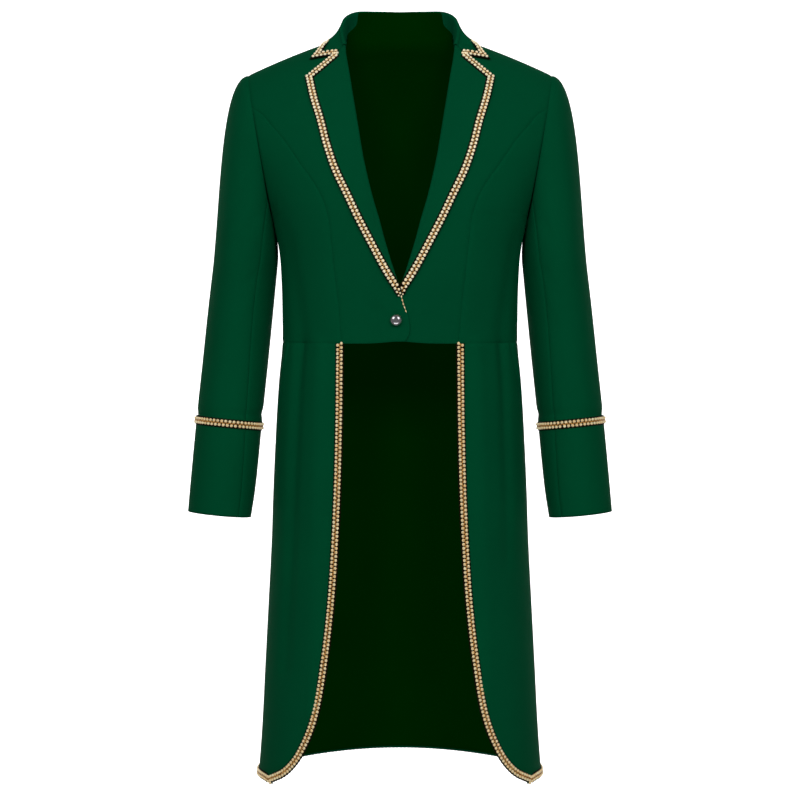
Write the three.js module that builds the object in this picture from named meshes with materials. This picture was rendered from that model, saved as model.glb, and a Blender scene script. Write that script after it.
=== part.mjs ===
// Tailcoat: a fitted costume coat cut short at the front waist, with long tails, a notched collar,
// two-piece sleeves, one dome button and gold gimp braid. It keeps the hollow form of a worn coat.
// Millimetres. +Z up, +X is the wearer's left, and the front faces -Y. The origin lies midway between
// the two neck points of the shoulder seams, where the wearer's shoulders carry the coat.
import * as THREE from 'three';
import { mergeVertices } from 'three/addons/utils/BufferGeometryUtils.js';

// ---- Driving sizes ----------------------------------------------------------------------------------
const CLOTH = 1.6; // the coat's cloth with its fusing
const LINING = 0.8;
const COLLAR_CLOTH = 2.0; // a lapel or collar leaf: two layers of cloth
const SEAM = 0.36; // gap between two pieces along a seam
const LAID = 0.35; // gap under a piece that lies on another

const NECK_X = 77; // neck point of the shoulder seam, at height 0
// The shoulder seam's outer end, how far the seam bows up, and how far it is rounded off at the neck.
const SHOULDER = { x: 220, y: 5, z: -56, bow: 2.5, round: 40 };
const UNDERARM = { x: 183, z: -268 };
const WAIST_Z = -443; // waist seam at the side
const HEM_Z = -1065;
const WAIST_DIP = { front: 6, centre: 3, reach: 28 }; // the front waist seam dips, but less at the centre
const BREAK_Z = -370; // where the lapels meet above the button
const NAPE_LEVEL = 0.925; // the back neck seam, as a share of the way from underarm to shoulder line

const HEM_RISE = 6; // how much higher the hem is at the centre back
const HEM_DROP = 2; // how far it reaches below its height at the sides
const LINING_HEM = 3; // how far the lining stays above the hem

const BRAID = { width: 10, thick: 1.2, crown: 0.6, laid: 0.55 };
const CUFF_BRAID_Z = -555; // its upper edge
const FRONT_EDGE_BRAID = { width: 1.8, top: -381, bottom: -406 };

// Half-width, front depth and back depth of the coat at each height. square below 1 squares the section.
const FORM = [
  { z: -268, side: 183, front: 122, back: 112, square: 0.7 },
  { z: -315, side: 174, front: 121, back: 108, square: 0.72 },
  { z: -360, side: 171, front: 118, back: 101, square: 0.75 },
  { z: -405, side: 170, front: 114, back: 93, square: 0.78 },
  { z: -446, side: 170, front: 111, back: 89, square: 0.8 },
  { z: -500, side: 175, front: 113, back: 98, square: 0.82 },
  { z: -563, side: 179, front: 115, back: 110, square: 0.84 },
  { z: -650, side: 183, front: 118, back: 121, square: 0.86 },
  { z: -737, side: 186, front: 120, back: 130, square: 0.88 },
  { z: -824, side: 190.5, front: 123, back: 139, square: 0.9 },
  { z: -911, side: 195, front: 125, back: 148, square: 0.92 },
  { z: -998, side: 199.5, front: 128, back: 156, square: 0.94 },
  { z: -1068, side: 204.5, front: 130, back: 162, square: 0.95 },
];

// How the chest and back curve over to the shoulder seam, and how far round them the armhole lies.
const OVER = {
  front: { rise: 2.2, turn: 1.7, armhole: 0.74 },
  back: { rise: 2.6, turn: 1.7, armhole: 0.78 },
};

// Edges and seams of the front, each by height: the roll line, the princess seam, and both front edges
// below the break, where a negative x lies past the centre.
const ROLL_LINE = [
  { z: 0, x: 77 },
  { z: -20, x: 78 },
  { z: -69, x: 70.5 },
  { z: -133, x: 60 },
  { z: -195, x: 49.5 },
  { z: -248, x: 37 },
  { z: -275, x: 28.5 },
  { z: -305, x: 20 },
  { z: -349, x: 5.5 },
  { z: BREAK_Z, x: 0 },
];
const PRINCESS_SEAM = [
  { z: -112, x: 210 },
  { z: -121, x: 197 },
  { z: -138, x: 183 },
  { z: -161, x: 164 },
  { z: -198, x: 139 },
  { z: -217, x: 125 },
  { z: -242, x: 110.5 },
  { z: -270, x: 101 },
  { z: -305, x: 96.5 },
  { z: -347, x: 92 },
  { z: -388, x: 87 },
  { z: -449, x: 81.5 },
];
const OVERLAP_EDGE = [
  { z: BREAK_Z, x: 0 },
  { z: -393, x: -5.5 },
  { z: -406, x: -10 },
  { z: -420, x: -13 },
  { z: -436, x: -12.5 },
  { z: -449, x: -5 },
];
const UNDERLAP_EDGE = [
  { z: BREAK_Z, x: 0 },
  { z: -388, x: -12 },
  { z: -400, x: -18 },
  { z: -449, x: -18 },
];
const LAPEL_EDGE = [
  { z: -69.3, x: 132.3 },
  { z: -105, x: 124.5 },
  { z: -140, x: 114 },
  { z: -175, x: 105 },
  { z: -210, x: 93 },
  { z: -244, x: 77 },
  { z: -278, x: 61 },
  { z: -311, x: 44 },
  { z: -354, x: 20.5 },
  { z: -368, x: 11.5 },
  { z: -378, x: 5 },
];
const NOTCH = { x: 97.7, z: -37 };
const GORGE = { x: 78, z: -22 }; // inner end of the seam between collar and lapel

const TAIL_EDGE = [
  { z: -449, x: 79 },
  { z: -560, x: 80 },
  { z: -673, x: 83 },
  { z: -784, x: 89 },
  { z: -840, x: 94 },
  { z: -896, x: 101 },
  { z: -951, x: 110 },
  { z: -980, x: 117.5 },
  { z: -1008, x: 128.5 },
  { z: -1037, x: 145 },
  { z: -1056, x: 163 },
  { z: -1067, x: 181 },
];
const TAIL_SIDE_SEAM = [
  { z: -443, angle: 67 },
  { z: -500, angle: 75 },
  { z: -600, angle: 88 },
  { z: -750, angle: 95 },
  { z: -1068, angle: 100 },
];

// The arm of the sleeve below the cap: ring centre, half-width, half-depth, and rise per mm outwards.
const ARM = [
  { z: -331, x: 224, y: 2, wide: 46.5, deep: 66, tilt: 0 },
  { z: -400, x: 231.5, y: 4, wide: 47, deep: 62, tilt: 0.05 },
  { z: -470, x: 238.5, y: 2, wide: 47, deep: 58, tilt: 0.09 },
  { z: -541, x: 245.5, y: -4, wide: 47, deep: 54, tilt: 0.1 },
  { z: -610, x: 251.5, y: -11, wide: 47, deep: 50, tilt: 0.1 },
  { z: -655, x: 255.7, y: -15, wide: 46.5, deep: 48, tilt: 0.1 },
  { z: -691, x: 259.8, y: -18, wide: 45.2, deep: 46.5, tilt: 0.1 },
];
const FRONT_SEAM_ANGLE = [
  { z: -268, angle: 138 },
  { z: -331, angle: 124 },
  { z: -400, angle: 120 },
  { z: -541, angle: 126 },
  { z: -691, angle: 133 },
];

// The collar from the centre back to its front end: the fold line on top, and where the fall's edge lies
// on the coat (x and z of the point under it).
const COLLAR = [
  { at: 0, foldX: 0, foldY: 46, foldZ: 42.3, edgeX: 0, edgeZ: -9 },
  { at: 0.22, foldX: 36, foldY: 41, foldZ: 42, edgeX: 45, edgeZ: -10.5 },
  { at: 0.42, foldX: 64, foldY: 25, foldZ: 38, edgeX: 83, edgeZ: -13 },
  { at: 0.6, foldX: 79, foldY: 5, foldZ: 26, edgeX: 107, edgeZ: -11 },
  { at: 0.74, foldX: 84, foldY: -9, foldZ: 11, edgeX: 114.5, edgeZ: -24.5 },
  { at: 0.87, foldX: 83, foldY: -23, foldZ: -5, edgeX: 121, edgeZ: -34 },
  { at: 1, foldX: 79.5, foldY: -36.5, foldZ: -19.5, edgeX: 127.3, edgeZ: -41.3 },
];
const COLLAR_SHOULDER = 0.6; // where the collar crosses the shoulder seam
const FALL_HOLLOW = { deep: 5, at: 0.58, reach: 0.2 }; // the fall dips in over the shoulder
const NECK_INSET = 5; // how far behind the front the stand starts at the collar's front end

const BUTTON = { x: -5.5, z: -416, radius: 8.5, dome: 5.2, rim: 1.1, shankRadius: 3, shank: 1.6 };

// Levels of the rows up a bodice panel: -1 is the waist seam, 0 the underarm and 1 the shoulder seam.
const BREAK_LEVEL = -0.565;
const LOW_LEVELS = [-1, -0.88, -0.76, BREAK_LEVEL, -0.45, -0.3, -0.15, 0];
const ARMHOLE_LEVELS = [
  0, 0.04, 0.13, 0.26, 0.4, 0.53, 0.64, 0.74, 0.82, 0.88, 0.925, 0.935, 0.955, 0.98, 1,
];
const PRINCESS_TOP = 0.74; // the level where the princess seam meets the armhole
const SLEEVE_SEAM_LEVEL = { front: 0.13, back: 0.4 }; // where the sleeve's seams meet the armhole
const BODICE_LEVELS = [...LOW_LEVELS, ...ARMHOLE_LEVELS.slice(1)];

// ---- Small helpers ----------------------------------------------------------------------------------
const { clamp, lerp, degToRad: rad, smoothstep } = THREE.MathUtils;
const vec = (x, y, z) => new THREE.Vector3(x, y, z);
const along = (from, to, share) => from.clone().lerp(to, share);

function steps(count) {
  return Array.from({ length: count + 1 }, (_, i) => i / count);
}

// A smooth curve through one column of a table, read at a value of its key column.
function lookup(table, key, column, value) {
  const rows = table[0][key] < table[1][key] ? table : [...table].reverse();
  const last = rows.length - 1;
  if (value <= rows[0][key]) return rows[0][column];
  if (value >= rows[last][key]) return rows[last][column];
  const i = rows.findIndex((row) => row[key] > value) - 1;
  const slope = (a, b) => (rows[b][column] - rows[a][column]) / (rows[b][key] - rows[a][key]);
  const span = rows[i + 1][key] - rows[i][key];
  const startSlope = i > 0 ? (slope(i - 1, i) + slope(i, i + 1)) / 2 : slope(i, i + 1);
  const endSlope = i + 2 <= last ? (slope(i, i + 1) + slope(i + 1, i + 2)) / 2 : slope(i, i + 1);
  const t = (value - rows[i][key]) / span;
  return (
    (2 * t ** 3 - 3 * t ** 2 + 1) * rows[i][column] +
    (t ** 3 - 2 * t ** 2 + t) * span * startSlope +
    (3 * t ** 2 - 2 * t ** 3) * rows[i + 1][column] +
    (t ** 3 - t ** 2) * span * endSlope
  );
}

// The unit normal of surface(u, v), turned to the side that outward(point) points to.
function normalOf(surface, u, v, outward, step = 1e-3) {
  const point = surface(u, v);
  const acrossU = surface(u + step, v).sub(surface(u - step, v));
  const acrossV = surface(u, v + step).sub(surface(u, v - step));
  const normal = acrossU.cross(acrossV).normalize();
  return normal.dot(outward(point)) < 0 ? normal.negate() : normal;
}

// ---- The form of the coat ---------------------------------------------------------------------------
// face is +1 on the front and -1 on the back. angle goes round from the centre line, in degrees.
const profileOf = (face) => (face > 0 ? OVER.front : OVER.back);
const depthColumn = (face) => (face > 0 ? 'front' : 'back');
const formAt = (z, column) => lookup(FORM, 'z', column, z);
const fromBody = (point) => vec(point.x, point.y - SHOULDER.y, 0);

function waistZ(face, angle) {
  if (face < 0) return WAIST_Z;
  const x = formAt(WAIST_Z, 'side') * Math.sin(rad(angle));
  const dip = WAIST_DIP.front * Math.max(Math.cos(rad(angle)), 0);
  return WAIST_Z - dip + WAIST_DIP.centre * Math.exp(-((x / WAIST_DIP.reach) ** 2));
}

function ringPoint(face, angle, z) {
  const round = Math.max(Math.cos(rad(angle)), 0) ** formAt(z, 'square');
  return vec(formAt(z, 'side') * Math.sin(rad(angle)), -face * formAt(z, depthColumn(face)) * round, z);
}

function depthAbove(face, level) {
  const { rise, turn } = profileOf(face);
  return FORM[0][depthColumn(face)] * (1 - clamp(level, 0, 1) ** rise) ** (1 / turn);
}

const armholeX = (level) => lerp(UNDERARM.x, SHOULDER.x, level);
const armholeShare = (face, level) => profileOf(face).armhole * Math.cbrt(clamp(level, 0, 1));

function armholeAngle(face, level) {
  return THREE.MathUtils.radToDeg(Math.acos(armholeShare(face, level) ** (1 / FORM[0].square)));
}

// The height of the shoulder line at x: 0 at the neck point, rounded off across the centre.
function shoulderZ(x) {
  const rounded = (at) => Math.hypot(at, SHOULDER.round);
  const slope = SHOULDER.z / (rounded(SHOULDER.x) - rounded(NECK_X));
  const share = clamp((Math.abs(x) - NECK_X) / (SHOULDER.x - NECK_X), 0, 1);
  return slope * (rounded(x) - rounded(NECK_X)) + SHOULDER.bow * 4 * share * (1 - share);
}

function bodyPoint(face, angle, level) {
  if (level <= 0) {
    return ringPoint(face, angle, UNDERARM.z + level * (UNDERARM.z - waistZ(face, angle)));
  }
  const wide = armholeX(level) / Math.sin(rad(armholeAngle(face, level)));
  const x = wide * Math.sin(rad(angle));
  const shoulderLine = shoulderZ((x / armholeX(level)) * SHOULDER.x);
  const round = Math.max(Math.cos(rad(angle)), 0) ** FORM[0].square;
  const y = SHOULDER.y * level - face * depthAbove(face, level) * round;
  return vec(x, y, lerp(UNDERARM.z, shoulderLine, level));
}

function bodyNormal(face, angle, level) {
  const safeAngle = clamp(angle, -88, 88);
  const safeLevel = level > 0 ? clamp(level, 0.004, 0.996) : clamp(level, -0.998, -0.002);
  return normalOf((u, v) => bodyPoint(face, u, v), safeAngle, safeLevel, fromBody);
}

const bodySurface = (face, angle, level) => ({
  point: bodyPoint(face, angle, level),
  normal: bodyNormal(face, angle, level),
});

// The angle at which a row of the body reaches the x that an edge or seam has at that height.
function angleAtX(face, level, xAtHeight) {
  let angle = 20;
  for (let i = 0; i < 12; i++) {
    const wide = bodyPoint(face, 90, level).x;
    const x = xAtHeight(bodyPoint(face, angle, level).z);
    angle = THREE.MathUtils.radToDeg(Math.asin(clamp(x / wide, -1, 1)));
  }
  return angle;
}

// The surface of the front, or of the back, at a point given by its x and height.
function coatAt(x, z, face = 1) {
  let level = 0.5;
  for (let i = 0; i < 30; i++) {
    const angle = angleAtX(face, level, () => x);
    const height = bodyPoint(face, angle, level).z;
    const scale = level > 0 ? SHOULDER.z - UNDERARM.z : UNDERARM.z - WAIST_Z;
    level = clamp(level + (0.8 * (z - height)) / scale, -1, 1);
  }
  return bodySurface(face, angleAtX(face, level, () => x), level);
}

function skirtPoint(angle, share) {
  const face = angle <= 90 ? 1 : -1;
  const round = face > 0 ? angle : 180 - angle;
  const hem = HEM_Z - HEM_DROP + HEM_RISE * Math.max(-Math.cos(rad(angle)), 0) ** 4;
  return ringPoint(face, round, lerp(waistZ(face, round), hem, share));
}

const skirtSurface = (angle, share) => ({
  point: skirtPoint(angle, share),
  normal: normalOf(skirtPoint, clamp(angle, -88, 178), clamp(share, 0.002, 0.998), fromBody),
});

// ---- Solids -----------------------------------------------------------------------------------------
function solid(points, faces) {
  const positions = points.flatMap((p) => [p.x, p.y, p.z]);
  const volume = faces.reduce((sum, [a, b, c]) => {
    return sum + points[a].dot(vec(0, 0, 0).crossVectors(points[b], points[c]));
  }, 0);
  const turned = volume < 0 ? faces.map(([a, b, c]) => [a, c, b]) : faces;
  const geometry = new THREE.BufferGeometry();
  geometry.setAttribute('position', new THREE.Float32BufferAttribute(positions, 3));
  geometry.setIndex(turned.flat());
  return mergeVertices(geometry, 1e-4);
}

// A wall between two grids of points, shown[row][column] and hidden[row][column], closed at its edges.
function wallBetween(shown, hidden, { closedColumns = false } = {}) {
  const rows = shown.length;
  const columns = shown[0].length;
  const back = rows * columns;
  const index = (row, column) => row * columns + (column % columns);
  const points = [...shown.flat(), ...hidden.flat()];
  const faces = [];
  const quad = (a, b, c, d) => faces.push([a, b, c], [a, c, d]);
  const lastColumn = closedColumns ? columns : columns - 1;
  for (let row = 0; row < rows - 1; row++) {
    for (let column = 0; column < lastColumn; column++) {
      const [a, b] = [index(row, column), index(row, column + 1)];
      const [c, d] = [index(row + 1, column + 1), index(row + 1, column)];
      const split = points[a].distanceTo(points[c]) < points[b].distanceTo(points[d]) + 1e-3;
      for (const [i, j, k] of split ? [[a, b, c], [a, c, d]] : [[a, b, d], [b, c, d]]) {
        faces.push([i, j, k], [i + back, k + back, j + back]);
      }
    }
  }
  for (let column = 0; column < lastColumn; column++) {
    quad(index(0, column + 1), index(0, column), index(0, column) + back, index(0, column + 1) + back);
    const [a, b] = [index(rows - 1, column), index(rows - 1, column + 1)];
    quad(a, b, b + back, a + back);
  }
  for (let row = 0; row < rows - 1 && !closedColumns; row++) {
    quad(index(row, 0), index(row + 1, 0), index(row + 1, 0) + back, index(row, 0) + back);
    const [a, b] = [index(row, columns - 1), index(row + 1, columns - 1)];
    quad(b, a, a + back, b + back);
  }
  return solid(points, faces);
}

// Pulls the grid's side columns in by half a seam gap, so that neighbours along them stay apart.
function openSeams(grid) {
  const last = grid[0].length - 1;
  for (const row of grid) {
    const inwards = row[1].point.clone().sub(row[0].point).setLength(SEAM / 2);
    const outwards = row[last - 1].point.clone().sub(row[last].point).setLength(SEAM / 2);
    row[0].point.add(inwards);
    row[last].point.add(outwards);
  }
  return grid;
}

// A wall from a grid of {point, normal}: out mm proud of the surface, and as thick as given, inwards.
function wall(grid, thick, out = 0, options = {}) {
  const moved = (distance) => grid.map((row) => row.map(({ point, normal }) => {
    return point.clone().addScaledVector(normal, distance);
  }));
  return wallBetween(moved(out), moved(out - thick), options);
}

function mirrored(geometry) {
  const copy = geometry.clone().scale(-1, 1, 1);
  const order = Array.from(copy.index.array);
  for (let i = 0; i < order.length; i += 3) [order[i + 1], order[i + 2]] = [order[i + 2], order[i + 1]];
  copy.setIndex(order);
  return copy;
}

// ---- Bodice -----------------------------------------------------------------------------------------
const MIN_ROW = 0.35; // degrees: a panel's pointed end is this narrow
const FRONT_COLUMNS = 6;
const SIDE_COLUMNS = 5;
const BACK_COLUMNS = 8;

// A bodice panel between two edges, each a function from level to angle.
function bodicePanel(face, levels, columns, innerEdge, outerEdge, shift = () => 0) {
  const grid = levels.map((level) => {
    const inner = innerEdge(level);
    const outer = Math.max(outerEdge(level), inner + MIN_ROW);
    return steps(columns).map((share) => {
      const spot = bodySurface(face, lerp(inner, outer, share), level);
      spot.point.addScaledVector(spot.normal, shift(spot.point));
      return spot;
    });
  });
  for (const spot of levels[levels.length - 1] === 1 ? grid[grid.length - 1] : []) {
    spot.point.y -= (face * SEAM) / 2;
    spot.normal.setY(0).normalize();
  }
  for (const spot of grid[0]) spot.point.z += SEAM / 2;
  return wall(openSeams(grid), CLOTH);
}

const LAPEL_FOLD = 5; // how far the front stops short of the roll line, inside the lapel's fold
const princessAngle = (level) => angleAtX(1, level, (z) => lookup(PRINCESS_SEAM, 'z', 'x', z));
const armholeEdge = (face) => (level) => (level <= 0 ? 90 : armholeAngle(face, level));

// The lap: the wearer's right front lies over the left one round the button, so it stands out there.
const LAP = { near: 14, far: 46, low: -365, high: -290, gap: 0.85 };

function lapLift(point) {
  const across = 1 - smoothstep(point.x, LAP.near, LAP.far);
  const up = 1 - smoothstep(point.z, LAP.low, LAP.high);
  return (CLOTH + LAP.gap) * across * up;
}

function frontPanel(lowEdge, lift) {
  const innerEdge = (level) => angleAtX(1, level, (z) => {
    return level < BREAK_LEVEL ? lookup(lowEdge, 'z', 'x', z) : lookup(ROLL_LINE, 'z', 'x', z) + LAPEL_FOLD;
  });
  const outerEdge = (level) => {
    return level <= PRINCESS_TOP ? princessAngle(level) : armholeEdge(1)(level);
  };
  return bodicePanel(1, BODICE_LEVELS, FRONT_COLUMNS, innerEdge, outerEdge, lift);
}

function sideFrontPanel() {
  const levels = BODICE_LEVELS.filter((level) => level <= PRINCESS_TOP);
  return bodicePanel(1, levels, SIDE_COLUMNS, princessAngle, armholeEdge(1));
}

function backPanel() {
  const napeDepth = depthAbove(-1, NAPE_LEVEL);
  const neckEdge = (level) => {
    const share = clamp(depthAbove(-1, level) / napeDepth, 0, 1);
    return angleAtX(-1, level, () => NECK_X * Math.sqrt(1 - share ** 2));
  };
  return bodicePanel(-1, BODICE_LEVELS, BACK_COLUMNS, neckEdge, armholeEdge(-1));
}

// ---- Tails ------------------------------------------------------------------------------------------
const TAIL_ROWS = [0, 0.05, 0.12, 0.22, 0.34, 0.46, 0.56, 0.65, 0.73, 0.8, 0.86, 0.91, 0.95, 0.98, 1];

function tailEdgeAngle(share) {
  let angle = 40;
  for (let i = 0; i < 12; i++) {
    const z = skirtPoint(angle, share).z;
    angle = THREE.MathUtils.radToDeg(Math.asin(lookup(TAIL_EDGE, 'z', 'x', z) / formAt(z, 'side')));
  }
  return angle;
}

const tailSeamAngle = (share) => lookup(TAIL_SIDE_SEAM, 'z', 'angle', lerp(WAIST_Z, HEM_Z, share));

function tailGrid(columns, innerEdge, outerEdge) {
  return TAIL_ROWS.map((share) => steps(columns).map((across) => {
    return skirtSurface(lerp(innerEdge(share), outerEdge(share), across), share);
  }));
}

function tailPanel(columns, innerEdge, outerEdge) {
  const grid = tailGrid(columns, innerEdge, outerEdge);
  for (const spot of grid[0]) spot.point.z -= SEAM / 2;
  return wall(openSeams(grid), CLOTH);
}

const TAIL_FRONT_COLUMNS = 6;
const TAIL_BACK_COLUMNS = 8;
const tailFront = () => tailPanel(TAIL_FRONT_COLUMNS, tailEdgeAngle, tailSeamAngle);
const tailBack = () => tailPanel(TAIL_BACK_COLUMNS, tailSeamAngle, () => 180);

// ---- Sleeves ----------------------------------------------------------------------------------------
const levelTurn = (level) => THREE.MathUtils.radToDeg(Math.acos(2 * level - 1));
const SLEEVE_SEAM = {
  front: levelTurn(SLEEVE_SEAM_LEVEL.front),
  back: 360 - levelTurn(SLEEVE_SEAM_LEVEL.back),
};
const CAP_ROWS = [0, 0.1, 0.24, 0.42, 0.62, 0.82, 1];
const CAP_TOP = { out: 118, down: 16 }; // how the cap leaves the armhole over the shoulder
const CAP_UNDER = { out: -11, down: 50 }; // and under the arm
const CAP_FULL = 12; // how far it swells to the front and back
const CAP_END = { out: 0.1, pull: 1.2 }; // how it runs into the arm
const ARM_ROWS = [-380, -430, -485, -541, -600, -650, -691];

// turn is the angle round the sleeve in degrees: 0 over the shoulder, 90 at the front, 180 under the arm.
function armholePoint(turn) {
  const level = (1 + Math.cos(rad(turn))) / 2;
  const face = turn <= 180 ? 1 : -1;
  const y = SHOULDER.y * level - face * depthAbove(face, level) * armholeShare(face, level);
  return vec(armholeX(level), y, lerp(UNDERARM.z, SHOULDER.z, level));
}

// Moves the columns in front round, so that the front seam runs where it is seen.
function turnAt(turn, z) {
  const seam = lookup(FRONT_SEAM_ANGLE, 'z', 'angle', z);
  if (turn > 180) return turn;
  if (turn < SLEEVE_SEAM.front) return (turn * seam) / SLEEVE_SEAM.front;
  return 180 - ((180 - turn) * (180 - seam)) / (180 - SLEEVE_SEAM.front);
}

function armPoint(turn, z) {
  const ring = (column) => lookup(ARM, 'z', column, z);
  const moved = rad(turnAt(turn, z));
  const outwards = ring('wide') * Math.cos(moved);
  return vec(ring('x') + outwards, ring('y') - ring('deep') * Math.sin(moved), z + ring('tilt') * outwards);
}

// The cap joins each armhole point to the arm's first ring by a curve that leaves sideways and ends down.
function capPoint(turn, share) {
  const start = armholePoint(turn);
  start.x += SEAM;
  const end = armPoint(turn, ARM[0].z);
  const high = (1 + Math.cos(rad(turn))) / 2;
  const leave = vec(
    lerp(CAP_UNDER.out, CAP_TOP.out, high),
    -CAP_FULL * Math.sin(rad(turn)),
    -lerp(CAP_UNDER.down, CAP_TOP.down, high),
  );
  const arrive = vec(CAP_END.out, 0, -1).multiplyScalar(CAP_END.pull * (start.z - end.z));
  return start.multiplyScalar(2 * share ** 3 - 3 * share ** 2 + 1)
    .addScaledVector(leave, share ** 3 - 2 * share ** 2 + share)
    .addScaledVector(end, 3 * share ** 2 - 2 * share ** 3)
    .addScaledVector(arrive, share ** 3 - share ** 2);
}

// length 0 to 1 runs down the cap, and 1 to 2 down the arm to the cuff.
function sleevePoint(turn, length) {
  const last = ARM[ARM.length - 1].z;
  return length <= 1 ? capPoint(turn, length) : armPoint(turn, lerp(ARM[0].z, last, length - 1));
}

function sleeveSurface(turn, length) {
  const inCap = vec(ARM[0].x, ARM[0].y, lerp(UNDERARM.z, SHOULDER.z, 0.1));
  const inArm = sleevePoint(0, length).add(sleevePoint(180, length)).multiplyScalar(0.5);
  const fromMiddle = (point) => point.clone().sub(length < 1 ? inCap : inArm);
  const safeTurn = Math.abs(turn - 180) < 0.5 ? 179.5 : turn;
  const safeLength = clamp(length, 0.06, 1.996);
  return {
    point: sleevePoint(turn, length),
    normal: normalOf(sleevePoint, safeTurn, safeLength, fromMiddle),
  };
}

const SLEEVE_LENGTHS = [
  ...CAP_ROWS,
  ...ARM_ROWS.map((z) => 1 + (z - ARM[0].z) / (ARM[ARM.length - 1].z - ARM[0].z)),
];
const FRONT_TURNS = ARMHOLE_LEVELS.map(levelTurn).reverse(); // 0 at the shoulder to 180 under the arm
const BACK_TURNS = FRONT_TURNS.map((turn) => 360 - turn).reverse();

function sleevePanel(turns) {
  const grid = SLEEVE_LENGTHS.map((length) => turns.map((turn) => sleeveSurface(turn, length)));
  return wall(openSeams(grid), CLOTH);
}

const NEAR = 0.5; // degrees: how close a column must be to a seam to be on it

function upperSleeve() {
  const back = BACK_TURNS.filter((turn) => turn > SLEEVE_SEAM.back - NEAR).map((turn) => turn - 360);
  const front = FRONT_TURNS.filter((turn) => turn > 0 && turn < SLEEVE_SEAM.front + NEAR);
  return sleevePanelAround([...back, ...front]);
}

function underSleeve() {
  const front = FRONT_TURNS.filter((turn) => turn > SLEEVE_SEAM.front - NEAR);
  const back = BACK_TURNS.filter((turn) => turn > 180 && turn < SLEEVE_SEAM.back + NEAR);
  return sleevePanel([...front, ...back]);
}

// The upper sleeve crosses the shoulder, where the turn goes on below 0.
function sleevePanelAround(turns) {
  return sleevePanel(turns.map((turn) => (turn < 0 ? turn + 360 : turn)));
}

// ---- Lapels -----------------------------------------------------------------------------------------
const LAPEL_ROLL = 2.4; // how far the lapel swells off the front beside its fold
const LAPEL_RETURN = 12; // how far it reaches behind the front's edge

// A point on the lapel: up from the break to the gorge, and out from the roll line to the free edge.
function lapelSpot(up, out) {
  const roll = { z: lerp(BREAK_Z + 2, GORGE.z, up) };
  const edge = { z: lerp(LAPEL_EDGE[LAPEL_EDGE.length - 1].z, LAPEL_EDGE[0].z, up) };
  roll.x = lookup(ROLL_LINE, 'z', 'x', roll.z);
  edge.x = lookup(LAPEL_EDGE, 'z', 'x', edge.z);
  return { x: lerp(roll.x, edge.x, out), z: lerp(roll.z, edge.z, out) };
}

function lapelRise(up, out) {
  return LAID + LAPEL_ROLL * (1 - out) ** 3 * Math.sin(Math.PI * clamp(up, 0.02, 0.98)) ** 0.6;
}

function lapelSurface(up, out, lift) {
  const spot = lapelSpot(up, out);
  const { point, normal } = coatAt(spot.x, spot.z);
  const height = lift(point) + lapelRise(up, out) + COLLAR_CLOTH;
  return { point: point.addScaledVector(normal, height), normal };
}

// One row across the lapel: over its face, round the fold, and a short way back behind the front.
function lapelRow(up, lift) {
  const foldAt = lapelSurface(up, 0, lift);
  const edgeAt = lapelSurface(up, 1, lift);
  const towardsRoll = foldAt.point.clone().sub(edgeAt.point).normalize();
  const span = foldAt.point.distanceTo(edgeAt.point);
  const over = lapelRise(up, 0) + COLLAR_CLOTH;
  const under = CLOTH + LAID + COLLAR_CLOTH;
  const radius = (over + under) / 2;
  const centre = foldAt.point.clone().addScaledVector(foldAt.normal, -radius);
  const foldShare = Math.min(radius / span, 0.5);
  centre.addScaledVector(towardsRoll, -foldShare * span);
  const row = LAPEL_SHARES.map((share) => lapelSurface(up, lerp(foldShare, 1, share), lift));
  for (const turn of [0, 45, 90, 135, 180]) {
    const normal = foldAt.normal.clone().multiplyScalar(Math.cos(rad(turn)));
    normal.addScaledVector(towardsRoll, Math.sin(rad(turn)));
    row.push({ point: centre.clone().addScaledVector(normal, radius), normal });
  }
  const end = row[row.length - 1];
  row.push({
    point: end.point.clone().addScaledVector(towardsRoll, -Math.min(LAPEL_RETURN, 0.4 * span)),
    normal: end.normal,
  });
  return row;
}

const LAPEL_SHARES = [1, 0.78, 0.55, 0.33, 0.13]; // columns from the edge towards the fold
const LAPEL_ROWS = [0, 0.03, 0.07, 0.14, 0.24, 0.34, 0.44, 0.54, 0.64, 0.74, 0.83, 0.91, 0.965, 1];

function lapel(lift) {
  return wall(LAPEL_ROWS.map((up) => lapelRow(up, lift)), COLLAR_CLOTH);
}

// ---- Collar -----------------------------------------------------------------------------------------
const COLLAR_ROWS = [
  0, 0.1, 0.2, 0.3, 0.38, 0.46, 0.52, 0.565, 0.6, 0.635, 0.68, 0.74, 0.81, 0.87, 0.93, 1,
];
const FALL_SHARES = [0.17, 0.34, 0.56, 0.78, 1];
const FOLD_RADIUS = 3;
const COLLAR_LAID = 1.5; // gap under the fall
const KNEE = { share: 0.34, drop: 8.8, from: 0.8 }; // the collar's front edge turns at the notch
const STEEPEST = 0.4; // least forward slope that the lift is worked out from
const FORWARDS = { from: 0.7, full: 0.9 }; // places where the fall's lift turns to the front

// The neck seam: along the back's top edge, then down beside the roll line behind the front.
function neckPoint(at) {
  if (at <= COLLAR_SHOULDER) {
    const depth = depthAbove(-1, NAPE_LEVEL) * Math.cos((Math.PI / 2) * (at / COLLAR_SHOULDER));
    const level = (1 - (depth / FORM[0].back) ** OVER.back.turn) ** (1 / OVER.back.rise);
    const x = NECK_X * Math.sin((Math.PI / 2) * (at / COLLAR_SHOULDER));
    return bodyPoint(-1, angleAtX(-1, level, () => x), level).add(vec(0, 0, LAID));
  }
  const share = (at - COLLAR_SHOULDER) / (1 - COLLAR_SHOULDER);
  const { point, normal } = coatAt(lerp(NECK_X, GORGE.x, share), lerp(0, GORGE.z + 4, share));
  return point.addScaledVector(normal, -NECK_INSET * share);
}

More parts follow.
